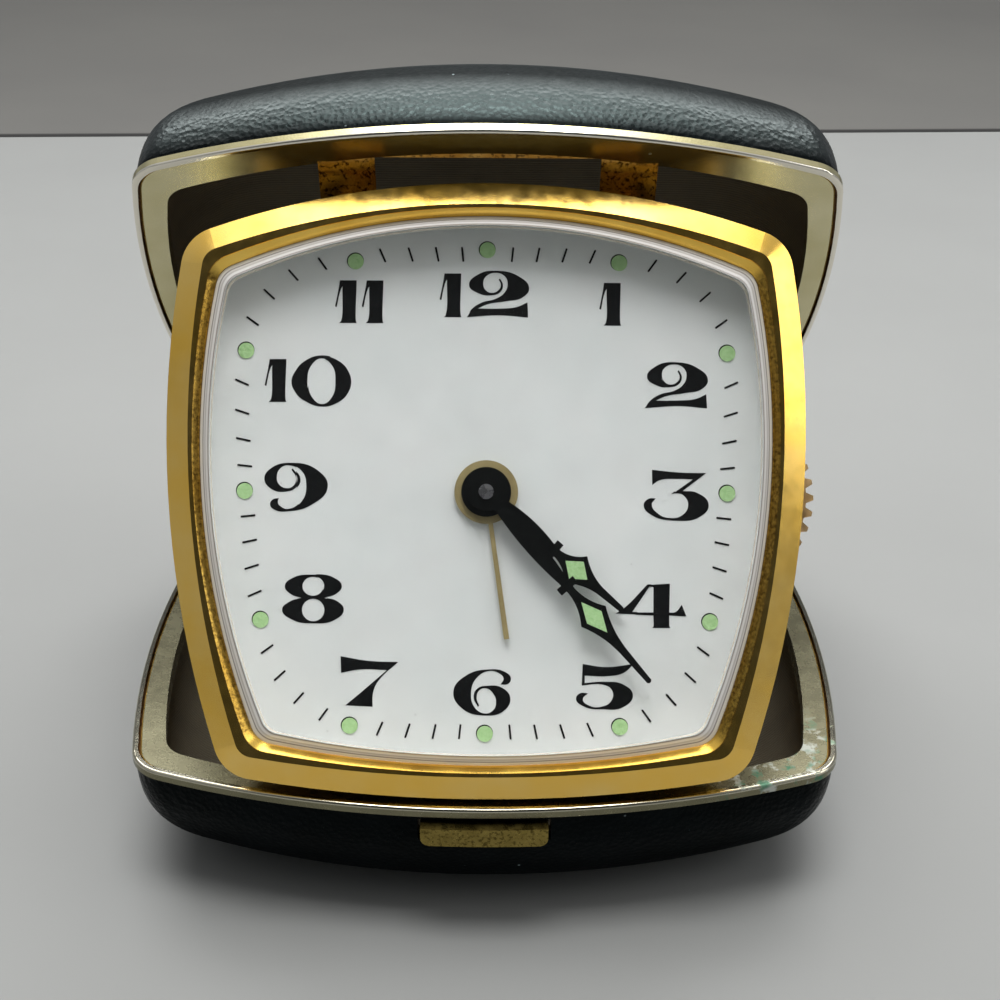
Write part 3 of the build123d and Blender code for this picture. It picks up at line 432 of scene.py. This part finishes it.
def makeHandBlack():
    # black lacquer over stamped steel hands: deep, with a soft gloss
    return makeCoat("hand_lacquer_black", {
        "Roughness": 0.32, "IOR": 1.5, "Specular IOR Level": 0.2, "Coat Weight": 0.1, "Coat Roughness": 0.2,
    }, {"shades": ("#060807", "#0e1110"), "patch": 0.8, "patchDetail": 3,
        "grain": 0.3, "grainDetail": 2, "depth": 0.01, "strength": 0.4})


def makePaint(name, colour, darker, rough, patch):
    # smooth matt paint with slight mottling
    return makeCoat(name, {"Roughness": rough}, {
        "shades": (colour, darker), "patch": patch, "patchDetail": 4,
        "grain": 0.6, "grainDetail": 3, "depth": 0.02, "strength": 0.3})


def makeAcrylic():
    # moulded acrylic crystal: clear over the dial, its bevelled edge satin and silvery with painted
    # reflections
    facts = {
        "edgeLean": (0.93, 0.88),  # how squarely a face looks out where the edge begins and is full
        "edgeClear": 0.12, "edgeRough": 0.1,
        "edge": (3.85, 4.65),  # heights over the dial, in millimetres
        "haze": 4.0, "hazeSpan": (0.3, 0.8),
        "scuff": 1.5, "scuffSpan": (0.55, 0.8), "scuffRough": (0.01, 0.05),
        # painted reflections on the moulded edge, light and dark lines from its foot to its crown
        "lines": (
            (0.0, "#f3ead6"), (0.24, "#fbf6ec"), (0.33, "#8d847b"), (0.42, "#efece8"), (0.57, "#cbc6c1"),
            (0.68, "#f5f3f0"), (0.81, "#e9e6e3"), (0.90, "#8a837c"), (1.0, "#dddad7"),
        ),
    }
    material, tree, coords = startMaterial("acrylic_clear", dialPlace)
    lean = addNode(tree, "SeparateXYZ", {}, {"Vector": faceWay(tree, dialPlace)}).outputs["Z"]
    lean = addNode(tree, "Math", {"operation": "ABSOLUTE"}, {0: lean})
    onEdge = addNode(tree, "MapRange", {
        "From Min": facts["edgeLean"][0], "From Max": facts["edgeLean"][1]}, {"Value": lean})
    haze = mottle(tree, coords, facts["haze"], facts["hazeSpan"])
    clear = addNode(tree, "Mix", {"data_type": "RGBA", 6: "#fcfbfb", 7: "#f6f4f4"}, {0: haze})
    lines = addNode(tree, "ValToRGB", {}, {"Fac": fadeAlong(tree, coords, "Z", facts["edge"])})
    stops = lines.color_ramp.elements
    for place, shade in facts["lines"]:
        stop = stops[0] if place == 0 else stops[-1] if place == 1 else stops.new(place)
        stop.color = hexColour(shade)
    colour = addNode(tree, "Mix", {"data_type": "RGBA"}, {0: onEdge, 6: clear, 7: lines})
    clearness = addNode(tree, "MapRange", {"To Min": 1, "To Max": facts["edgeClear"]}, {"Value": onEdge})
    scuffs = mottle(tree, coords, facts["scuff"], facts["scuffSpan"], facts["scuffRough"])
    rough = addNode(tree, "Math", {
        "operation": "MULTIPLY_ADD", 1: facts["edgeRough"]}, {0: onEdge, 2: scuffs})
    surface = addNode(tree, "BsdfPrincipled", {
        "Transmission Weight": 1, "IOR": 1.49, "Roughness": 0.02,
    }, {"Base Color": colour, "Transmission Weight": clearness, "Roughness": rough})

    # light on its way to the dial passes straight through
    through = addNode(tree, "BsdfTransparent", {"Color": "#f6f4f4"})
    shadow = addNode(tree, "LightPath").outputs["Is Shadow Ray"]
    mix = addNode(tree, "MixShader", {}, {0: shadow, 1: surface, 2: through})
    addNode(tree, "OutputMaterial", {}, {"Surface": mix})
    return material


lidCloth = makeLeathercloth("leathercloth_black_lid", lidPlace, 0.62, handled=True)
lowerCloth = makeLeathercloth("leathercloth_black_lower", lowerPlace, 0.04, handled=False)
lidNickel = makeNickel("nickel_plate_lid", lidPlace, {
    "flangeLight": "#e2dab2", "flangeDark": "#cec493", "bead": "#efe9da"}, 0.2)
# the same nickel plate as the lid's frame in much darker colours, bead and flange alike: painted shade on the
# lower frame; its verdigris is real
lowerNickelShaded = makeNickel("nickel_plate_lower_shaded", lowerPlace, {
    "flangeLight": "#8e8a70", "flangeDark": "#75715b", "bead": "#bab5a2"}, 0.27, verdigris=0.9)
gilt = makeGilt("gilt_lacquered_brass", dialPlace)
# thin gilding, still glossy, with brown specks that are painted dark reflections
tabGilt = makeMetal("gilt_tab_tarnish_and_painted_reflections", "#efd7a4", "#c9a264", 0.14, grain=0.4, speckle="#5b4420")
# bare brass gone olive under the thumb
latchBrass = makeMetal("brass_latch_olive", "#a3904f", "#7f6e39", 0.28, grain=0.5, speckle="#5a4d25")
# handled brass, browner and duller than new
agedBrass = makeMetal("brass_aged", "#b39b5e", "#8d7640", 0.3)
# sprayed bronze paint: a greenish gold without a metal's shine
alarmPaint = makePaint("bronze_paint_alarm_hand", "#a39769", "#8e8257", 0.4, 2.0)
# clean turned and stamped brass, shut away from the air
movementBrass = makeMetal("brass_turned", "#d9b768", "#c29a45", 0.26)
# polished steel of pins, screws and arbors: a cool bright grey
steel = makeMetal("steel_bright", "#c6c8c9", "#a4a7a8", 0.25)
# zinc-plated pressings: an even dull grey
panSteel = makeMetal("steel_zinc_dull", "#9a9c9c", "#7f8182", 0.45)
# gilt-lacquered steel pressing: plain gold with a soft shine
backSteel = makeMetal("gilt_back_pressing", "#d7b05c", "#bb9143", 0.3)
# fresh-cut brass teeth, pale and satin
wheelBrass = makeMetal("brass_winding_wheel", "#ffdfae", "#f2c98a", 0.4)
lidLining = makeLining("lining_rayon_lid", lidPlace)
lowerLining = makeLining("lining_rayon_lower", lowerPlace)
dialPaint = makeDialPaint()
ink = makeInk()
lume = makeLume()
handBlack = makeHandBlack()
acrylic = makeAcrylic()
# stoved enamel on the pressed spacer: off-white and half matt
spacerPaint = makePaint("spacer_white_enamel", "#dfe1de", "#cfd1ce", 0.5, 3.0)

finishes = {
    "lid_cover": lidCloth, "lower_cover": lowerCloth,
    "lid_pan": panSteel, "lower_pan": panSteel,
    "lid_lining": lidLining, "lower_lining": lowerLining,
    "lid_frame": lidNickel, "lower_frame": lowerNickelShaded,
    "latch_bar": latchBrass, "hinge_tab": tabGilt,
    "bezel": gilt, "back_case": backSteel, "winding_wheel": wheelBrass,
    "crystal": acrylic, "dial": dialPaint, "dial_spacer": spacerPaint,
    "hour_dots": lume, "minute_lume": lume, "hour_lume": lume,
    "minute_hand": handBlack, "hour_hand": handBlack,
    "alarm_hand": alarmPaint, "front_plate": movementBrass, "back_plate": movementBrass,
    "centre_wheel": movementBrass, "third_wheel": movementBrass, "mainspring_barrel": movementBrass,
    "minute_wheel": movementBrass, "balance_wheel": movementBrass,
    "time_knob": agedBrass, "alarm_knob": agedBrass, "alarm_button": agedBrass,
}
for nodeName, piece in nodes.items():
    piece.data.materials.clear()
    piece.data.materials.append(finishes.get(nodeName, steel))  # all other pieces are bright steel
print("finishes on", len(nodes), "solid parts")


# Printed numerals

numeralFacts = {
    "height": 4.33,  # of a 1, in millimetres
    "thickness": 0.03,
    "digitStep": 2.7,  # from a first digit's left edge to the second's
    "curveSteps": 8,
}
# Outlines in hundredths of the height of a 1: x,y points round each loop, corners marked with !
digitLoops = {
    "0": ["0,48 10,74 28,94 69,108 112,94 130,73 137,49 130,23 110,2 70,-10 28,4 9,23",
          "37,50 46,86 69,101 92,86 100,49 92,12 70,-4 46,12"],
    "1": ["11,100! 50,100! 49,6 51,0! 10,0! 15,6 17,86! 13,78 4,37! 0,39! 8,80"],
    "2": ["1,0! 14,18 36,32 68,41 88,55 96,75 90,93 70,102 45,93 39,77 45,61 59,55 74,61 80,73 75,86! "
          "78,89! 85,73 79,57 59,49 27,54 6,73 27,98 72,107 122,94 146,67 133,46 90,35 50,28 27,18! "
          "77,18 117,22 142,33! 144,0! 77,5"],
    "3": ["19,117! 81,111 143,110! 88,68! 122,64 149,36 128,8 72,-1 19,11 0,34 11,49 28,50! 19,36 "
          "32,16 59,5 90,14 101,36 92,56 80,62 64,61! 112,95! 77,96 36,92 20,81!"],
    "4": ["0,32! 20,45 74,100! 124,103! 123,36! 137,37 152,54! 163,27! 123,29! 123,5! 126,0! 84,0! "
          "87,5! 86,29!", "86,95! 79,95! 39,36! 86,36!"],
    "5": ["16,104! 69,97 134,104! 112,84 74,76 21,77! 21,60! 69,63 110,57 133,32 112,5 64,-1 18,6 1,23 "
          "10,36 29,36! 17,22 31,8 59,5 83,19 84,44 64,56 14,54!"],
    "6": ["110,72! 128,74 134,87 119,102 84,107 31,93 1,55 23,15 74,0 117,10 133,40 115,64 79,69 56,62 "
          "48,42 58,20! 61,23! 55,42 62,59 77,63 94,50 100,30 92,11 73,5 51,18 42,53 54,86 82,103 "
          "107,98 117,86"],
    "7": ["2,115! 68,105 135,103! 87,56 77,31 76,-1! 13,2! 50,33 109,84! 47,85 3,77!"],
    "8": ["71,113 118,105 136,86 123,68 98,59! 127,50 141,31 123,9 71,0 22,9 0,31 17,50 44,59! 19,68 "
          "6,86 24,105", "71,108 95,86 71,64 47,86", "72,57 98,31 72,5 46,31"],
    "9": ["34,31! 19,27 14,15 26,3 51,0 107,15 145,58 121,96 62,113 15,100 0,77 15,53 51,46 75,57 "
          "81,77 66,100! 63,97! 74,77 68,60 53,54 35,62 29,79 37,100 56,107 84,94 95,62 85,24 55,6 "
          "37,13 32,20"],
}
# Middle of each hour's numeral from the dial's centre, in millimetres
numeralPlaces = {
    1: (12.4, 19.0), 2: (19.1, 10.9), 3: (19.1, -0.2),
    4: (16.6, -11.3), 5: (12.0, -19.4), 6: (-0.3, -20.0),
    7: (-11.6, -19.0), 8: (-17.3, -10.8), 9: (-19.1, 0.4),
    10: (-18.0, 11.1), 11: (-12.9, 19.1), 12: (-0.3, 20.0),
}


def numeralCurve(name, hour):
    curve = bpy.data.curves.new(name, "CURVE")
    curve.dimensions = "2D"
    curve.fill_mode = "BOTH"
    curve.resolution_u = numeralFacts["curveSteps"]
    curve.extrude = mm(numeralFacts["thickness"]) / 2
    unit = mm(numeralFacts["height"]) / 100
    for place, digit in enumerate(str(hour)):
        shift = mm(numeralFacts["digitStep"]) * place
        for loop in digitLoops[digit]:
            points = loop.split()
            spline = curve.splines.new("BEZIER")
            spline.bezier_points.add(len(points) - 1)
            spline.use_cyclic_u = True
            for point, text in zip(spline.bezier_points, points):
                x, y = (float(value) for value in text.strip("!").split(","))
                point.co = (x * unit + shift, y * unit, 0)
                kind = "VECTOR" if text.endswith("!") else "AUTO"
                point.handle_left_type = kind
                point.handle_right_type = kind
    return curve


def placeOnDial(piece, x, y, lift, turn=0.0):
    # turns and moves the mesh itself, so that the object stays at the origin
    inDial = Matrix.Translation((mm(x), mm(y), mm(lift))) @ Matrix.Rotation(turn, 4, "Z")
    piece.data.transform(dialPlace @ inDial)


def finishPiece(piece, material, body):
    piece.data.materials.clear()
    piece.data.materials.append(material)
    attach(piece, body)


for hour, (x, y) in numeralPlaces.items():
    numeral = bpy.data.objects.new(f"numeral_{hour}", numeralCurve(f"numeral_{hour}", hour))
    bpy.context.scene.collection.objects.link(numeral)
    pick(numeral)
    bpy.ops.object.convert(target="MESH")
    numeral = bpy.context.view_layer.objects.active
    bpy.ops.object.mode_set(mode="EDIT")
    bpy.ops.mesh.select_all(action="SELECT")
    bpy.ops.mesh.remove_doubles(threshold=mm(weldGap))
    bpy.ops.mesh.normals_make_consistent(inside=False)
    bpy.ops.object.mode_set(mode="OBJECT")
    acrossPlaces = [vertex.co.x for vertex in numeral.data.vertices]
    upPlaces = [vertex.co.y for vertex in numeral.data.vertices]
    middleX = (min(acrossPlaces) + max(acrossPlaces)) / 2
    middleY = (min(upPlaces) + max(upPlaces)) / 2
    numeral.data.transform(Matrix.Translation((-middleX, -middleY, 0)))
    placeOnDial(numeral, x, y, numeralFacts["thickness"] / 2)
    finishPiece(numeral, ink, "head")
print("numerals done")


# Minute marks on the dial's bowed track

markFacts = {
    "length": 1.5, "width": 0.2, "thickness": 0.03, "edge": 0.05, "edgeSteps": 2,
    # the track, its half width growing upwards by the widening
    "halfWidth": 24.04, "widening": 0.072, "halfHeight": 23.96, "squareness": 4.16,
    "searchReach": 40.0, "searchSteps": 40,
}


def trackRadius(angle):
    # distance from the centre to the track, found by halving, as the track is squarish and wider at its top
    near, far = 0.0, markFacts["searchReach"]
    for halving in range(markFacts["searchSteps"]):
        radius = (near + far) / 2
        x, y = radius * math.sin(angle), radius * math.cos(angle)
        halfWidth = markFacts["halfWidth"] + markFacts["widening"] * y
        power = markFacts["squareness"]
        inside = abs(x / halfWidth) ** power + abs(y / markFacts["halfHeight"]) ** power < 1
        near, far = (radius, far) if inside else (near, radius)
    return radius


def copyOf(piece):
    # a copy with its own mesh
    copy = piece.copy()
    copy.data = piece.data.copy()
    bpy.context.scene.collection.objects.link(copy)
    return copy


def joinAs(name, pieces, pattern):
    # makes one piece of the copies, and the pattern that they were copied from goes
    bpy.data.objects.remove(pattern)
    pick(*pieces)
    bpy.ops.object.join()
    pieces[0].name = name
    finishPiece(pieces[0], ink, "head")
    print(name, "done:", len(pieces))


deselectAll()
bpy.ops.mesh.primitive_cube_add(size=1)
mark = bpy.context.object
bpy.ops.object.mode_set(mode="EDIT")
bpy.ops.transform.resize(value=(mm(markFacts["width"]), mm(markFacts["length"]), mm(markFacts["thickness"])))
bpy.ops.mesh.bevel(offset=mm(markFacts["edge"]), segments=markFacts["edgeSteps"], affect="EDGES")
bpy.ops.object.mode_set(mode="OBJECT")
marks = []
for minute in range(60):
    if minute % 5 == 0:
        continue  # the hours have luminous dots
    angle = math.tau * minute / 60
    radius = trackRadius(angle)
    copy = copyOf(mark)
    placeOnDial(copy, radius * math.sin(angle), radius * math.cos(angle), markFacts["thickness"] / 2, -angle)
    marks.append(copy)
joinAs("minute_marks", marks, mark)


# Dark printed ring beside each luminous dot, set a little up and to the left so that it also paints the
# shadow crescent at the dot's upper left edge

rimFacts = {"radius": 0.86, "thickness": 0.02, "edge": 0.008, "shift": (-0.05, 0.07), "sides": 40}


def looseMiddles(nodeName, inverse):
    # the middle of each separate lump of a part, in a working plane
    mesh = nodes[nodeName].data
    group = list(range(len(mesh.vertices)))

    def root(index):
        while group[index] != index:
            group[index] = group[group[index]]
            index = group[index]
        return index

    places = {}
    for index, vertex in enumerate(mesh.vertices):
        key = tuple(round(value * 1e7) for value in vertex.co)  # to a tenth of a micrometre
        group[index] = places.setdefault(key, index)
    for edge in mesh.edges:
        first, second = (root(index) for index in edge.vertices)
        group[first] = second
    lumps = {}
    for index, vertex in enumerate(mesh.vertices):
        lumps.setdefault(root(index), []).append(inverse @ vertex.co)
    return [sum(spots, Vector()) / len(spots) for spots in lumps.values()]


deselectAll()
bpy.ops.mesh.primitive_cylinder_add(vertices=rimFacts["sides"], radius=mm(rimFacts["radius"]),
                                    depth=mm(rimFacts["thickness"]))
rim = bpy.context.object
bpy.ops.object.mode_set(mode="EDIT")
bpy.ops.mesh.bevel(offset=mm(rimFacts["edge"]), segments=1, affect="EDGES")
bpy.ops.object.mode_set(mode="OBJECT")
rims = []
# the shift puts each ring up and to the left of its dot: painted shadow on that side
shadowShiftX, shadowShiftY = rimFacts["shift"]
for spot in looseMiddles("hour_dots", dialPlace.inverted()):
    copy = copyOf(rim)
    placeOnDial(copy, spot.x / mm(1) + shadowShiftX, spot.y / mm(1) + shadowShiftY, rimFacts["thickness"] / 2)
    rims.append(copy)
joinAs("dot_rims_and_painted_shadow", rims, rim)


# Painted shade in the groove and a painted gold reflection line in each case frame, grown from the frame's
# own faces

frameTrim = {
    "groove": -0.65, "flange": -0.35, "tolerance": 0.03,  # heights from the closing plane, in millimetres
    # lacquer is the thickness of the painted groove shade, line that of the painted gold reflection line
    "lacquer": 0.03, "line": 0.12,  # thicknesses
    "flatFrom": 0.9, "uprightTo": 0.1,  # how nearly a face looks out of the plane
}
# painted shade in the groove: a deep brown metal that still glints
grooveShade = makeMetal("groove_shade_brown", "#5d3f1c", "#3a2611", 0.3)
# painted reflection of the gilt bezel: a soft gold line on the groove's outward wall
lineReflection = makeMetal("gold_line_painted_reflection", "#bd9a4c", "#a07f38", 0.32)


def facesOf(nodeName, newName, keep):
    # a copy of a solid part that keeps only the faces asked for
    piece = copyOf(nodes[nodeName])
    for key in list(piece.keys()):
        del piece[key]
    piece.parent = None
    piece.name = newName
    pick(piece)
    bpy.ops.object.mode_set(mode="EDIT")
    bpy.ops.mesh.select_mode(type="FACE")  # before faces are marked, or the marks are lost
    bpy.ops.mesh.select_all(action="SELECT")
    bpy.ops.mesh.remove_doubles(threshold=mm(weldGap))
    bpy.ops.mesh.select_all(action="DESELECT")
    bpy.ops.object.mode_set(mode="OBJECT")
    for face in piece.data.polygons:
        face.select = not keep(face, [piece.data.vertices[corner].co for corner in face.vertices])
    bpy.ops.object.mode_set(mode="EDIT")
    bpy.ops.mesh.delete(type="FACE")
    bpy.ops.object.mode_set(mode="OBJECT")
    return piece


def thicken(piece, thickness):
    pick(piece)
    solid = piece.modifiers.new("thickness", "SOLIDIFY")
    solid.thickness = thickness
    solid.offset = 1
    bpy.ops.object.modifier_apply(modifier=solid.name)


for side, place, body in (("lid", lidPlace, "lid"), ("lower", lowerPlace, "case")):
    turn = place.to_3x3()
    out = turn.col[2]
    inverse = place.inverted()
    centre = inverse @ middle(f"{side}_frame")
    slack = mm(frameTrim["tolerance"])
    grooveHeight, flangeHeight = mm(frameTrim["groove"]), mm(frameTrim["flange"])

    def inGroove(face, corners):
        height = sum((inverse @ corner).z for corner in corners) / len(corners)
        return face.normal.dot(out) > frameTrim["flatFrom"] and abs(height - grooveHeight) < slack

    def onLine(face, corners):
        heights = [(inverse @ corner).z for corner in corners]
        spot = inverse @ face.center
        outward = (turn @ Vector((spot.x - centre.x, spot.y - centre.y, 0))).dot(face.normal) > 0
        upright = abs(face.normal.dot(out)) < frameTrim["uprightTo"]
        between = min(heights) > grooveHeight - slack and max(heights) < flangeHeight + slack
        return outward and upright and between

    for name, keep, thickness, finish in (
        ("groove_painted_shade", inGroove, frameTrim["lacquer"], grooveShade),
        ("gold_line", onLine, frameTrim["line"], lineReflection),
    ):
        trim = facesOf(f"{side}_frame", f"{side}_{name}", keep)
        thicken(trim, mm(thickness))
        finishPiece(trim, finish, body)
print("frame trim done")


# Floor, light and camera

stageFacts = {
    # the table, in metres and degrees; the seam is its back edge
    "width": 1.6, "front": -1.0, "seam": 0.249, "turn": 2.5,
    # the ground lies lower by the drop and starts a little way under the table
    "drop": 0.001, "under": 0.01, "back": 1.2,
    # in millimetres: the painted shade in the gap behind the seam fades out between two places, and the
    # mottling's size
    "gap": (7.2, 5.7), "cloud": 90.0,
}
stageTurn = Matrix.Rotation(math.radians(stageFacts["turn"]), 4, "Z")
stagePlace = Matrix.Translation((0, stageFacts["seam"], 0)) @ stageTurn


def makeGround():
    # darker painted board behind the table, with painted shade, near black, in the gap along the table's edge
    material, tree, coords = startMaterial("ground_matt_dark", stagePlace)
    cloud = mottle(tree, coords, stageFacts["cloud"])
    paint = addNode(tree, "Mix", {"data_type": "RGBA", 6: "#686763", 7: "#62615e"}, {0: cloud})
    # painted shade along the table's edge, where the gap lies in shadow
    gap = fadeAlong(tree, coords, "Y", stageFacts["gap"])
    colour = addNode(tree, "Mix", {"data_type": "RGBA", 7: "#1d1c1b"}, {0: gap, 6: paint})
    surface = addNode(tree, "BsdfPrincipled", {"Roughness": 0.7}, {"Base Color": colour})
    addNode(tree, "OutputMaterial", {}, {"Surface": surface})
    return material


def stagePlane(name, size, middlePlace, paint):
    deselectAll()
    bpy.ops.mesh.primitive_plane_add(size=1)
    plane = bpy.context.object
    plane.name = name
    plane.data.transform(stagePlace @ Matrix.Translation(middlePlace) @ Matrix.Diagonal((*size, 1, 1)))
    plane.data.materials.append(paint)
    return plane


# matt painted board: an even cool grey that takes soft shadows
floorPaint = makePaint("floor_matt_grey", "#939492", "#8f908e", 0.6, 60.0)
groundPaint = makeGround()
floorDepth = stageFacts["seam"] - stageFacts["front"]
groundMiddle = stageFacts["back"] / 2 - stageFacts["under"]
floor = stagePlane("floor", (stageFacts["width"], floorDepth), (0, -floorDepth / 2, 0), floorPaint)
ground = stagePlane("ground", (stageFacts["width"], stageFacts["back"]),
                    (0, groundMiddle, -stageFacts["drop"]), groundPaint)

# area lamps, placed in metres, with power in watts
lampFacts = {
    "overhead": {"place": (0.0, -0.055, 0.60), "aim": (0, -0.01, 0.03), "size": (0.26, 0.18), "power": 1.6},
    "rear": {"place": (0.0, 0.22, 0.31), "aim": (0, 0.0, 0.03), "size": (0.50, 0.12), "power": 1.0},
    "roomRight": {"place": (0.60, -0.10, 0.35), "aim": (0, 0, 0.03), "size": (0.25, 0.5), "power": 0.8},
}
for name, facts in lampFacts.items():
    lamp = bpy.data.lights.new(name, "AREA")
    lamp.shape = "RECTANGLE"
    lamp.size, lamp.size_y = facts["size"]
    lamp.energy = facts["power"]
    holder = bpy.data.objects.new(name, lamp)
    bpy.context.scene.collection.objects.link(holder)
    holder.location = facts["place"]
    lampWay = Vector(facts["aim"]) - Vector(facts["place"])
    holder.rotation_euler = lampWay.to_track_quat("-Z", "Y").to_euler()

# a pale room, blotchy like any room seen in polished metal: bright behind the zenith,
# dark where the photographer stands, and shaded on its far side
roomFacts = {
    "strength": 0.62, "glow": 3.2, "blotch": 2.2, "blotchSpan": (0.35, 0.65),
    "paleFrom": 0.35, "paleTo": 0.95,  # heights between which the tone goes to white
    "darkWay": (0, -0.86, 0.51), "darkFrom": 0.72, "darkTo": 0.93,
    "glowWay": (0, 0.32, 0.947), "glowFrom": 0.88, "glowTo": 0.955,
    "backWay": (0, 0.94, 0.34), "backFrom": 0.75, "backTo": 0.90,
}
world = bpy.data.worlds.new("softRoom")
bpy.context.scene.world = world
world.use_nodes = True
roomTree = world.node_tree
roomTree.nodes.clear()
ways = addNode(roomTree, "TexCoord").outputs["Generated"]


def nearness(region, reach=(0, 1)):
    # how near a direction is to the middle of a named region of the room
    alike = addNode(roomTree, "VectorMath", {
        "operation": "DOT_PRODUCT", 1: roomFacts[region + "Way"]}, {0: ways})
    return addNode(roomTree, "MapRange", {
        "From Min": roomFacts[region + "From"], "From Max": roomFacts[region + "To"],
        "To Min": reach[0], "To Max": reach[1],
    }, {"Value": alike})


blotches = addNode(roomTree, "TexNoise", {
    "Scale": roomFacts["blotch"], "Detail": 3, "Roughness": 0.5}, {"Vector": ways})
blotches = addNode(roomTree, "MapRange", {
    "From Min": roomFacts["blotchSpan"][0], "From Max": roomFacts["blotchSpan"][1]}, {"Value": blotches})
height = addNode(roomTree, "SeparateXYZ", {}, {"Vector": ways}).outputs["Z"]
pale = addNode(roomTree, "MapRange", {
    "From Min": roomFacts["paleFrom"], "From Max": roomFacts["paleTo"]}, {"Value": height})
room = addNode(roomTree, "Mix", {"data_type": "RGBA", 6: "#a3a5a8", 7: "#cdd0d2"}, {0: blotches})
for amount, tone in ((pale, "#ffffff"), (nearness("back"), "#6c6e70"), (nearness("dark"), "#46484a")):
    room = addNode(roomTree, "Mix", {"data_type": "RGBA", 7: tone}, {0: amount, 6: room})
brightness = nearness("glow", (roomFacts["strength"], roomFacts["glow"]))
background = addNode(roomTree, "Background", {}, {"Color": room, "Strength": brightness})
addNode(roomTree, "OutputWorld", {}, {"Surface": background})

# the camera's place in millimetres, its angles in degrees and its lens, as fitted to the photograph
cameraFacts = {
    "place": (0.45, -159.12, 117.73), "dip": 28.855, "swing": 0.332, "roll": -0.508,
    "lens": 58.05, "sensor": 36, "nearest": 10.0,
}
dip, swing, roll = (math.radians(cameraFacts[key]) for key in ("dip", "swing", "roll"))
forward = Vector((0, math.cos(dip), -math.sin(dip))) * math.cos(swing) + Vector((1, 0, 0)) * math.sin(swing)
right = forward.cross(Vector((0, 0, 1))).normalized()
up = right.cross(forward)
rolledRight = right * math.cos(roll) - up * math.sin(roll)
rolledUp = right * math.sin(roll) + up * math.cos(roll)
camera = bpy.data.cameras.new("camera")
camera.lens = cameraFacts["lens"]
camera.sensor_width = cameraFacts["sensor"]
camera.clip_start = mm(cameraFacts["nearest"])
cameraHolder = bpy.data.objects.new("camera", camera)
bpy.context.scene.collection.objects.link(cameraHolder)
cameraPlace = mm(Vector(cameraFacts["place"]))
cameraHolder.matrix_world = planeMatrix(cameraPlace, rolledRight, rolledUp, -forward)
bpy.context.scene.camera = cameraHolder
bpy.context.scene.view_settings.view_transform = "Standard"
print("stage, light and camera done")
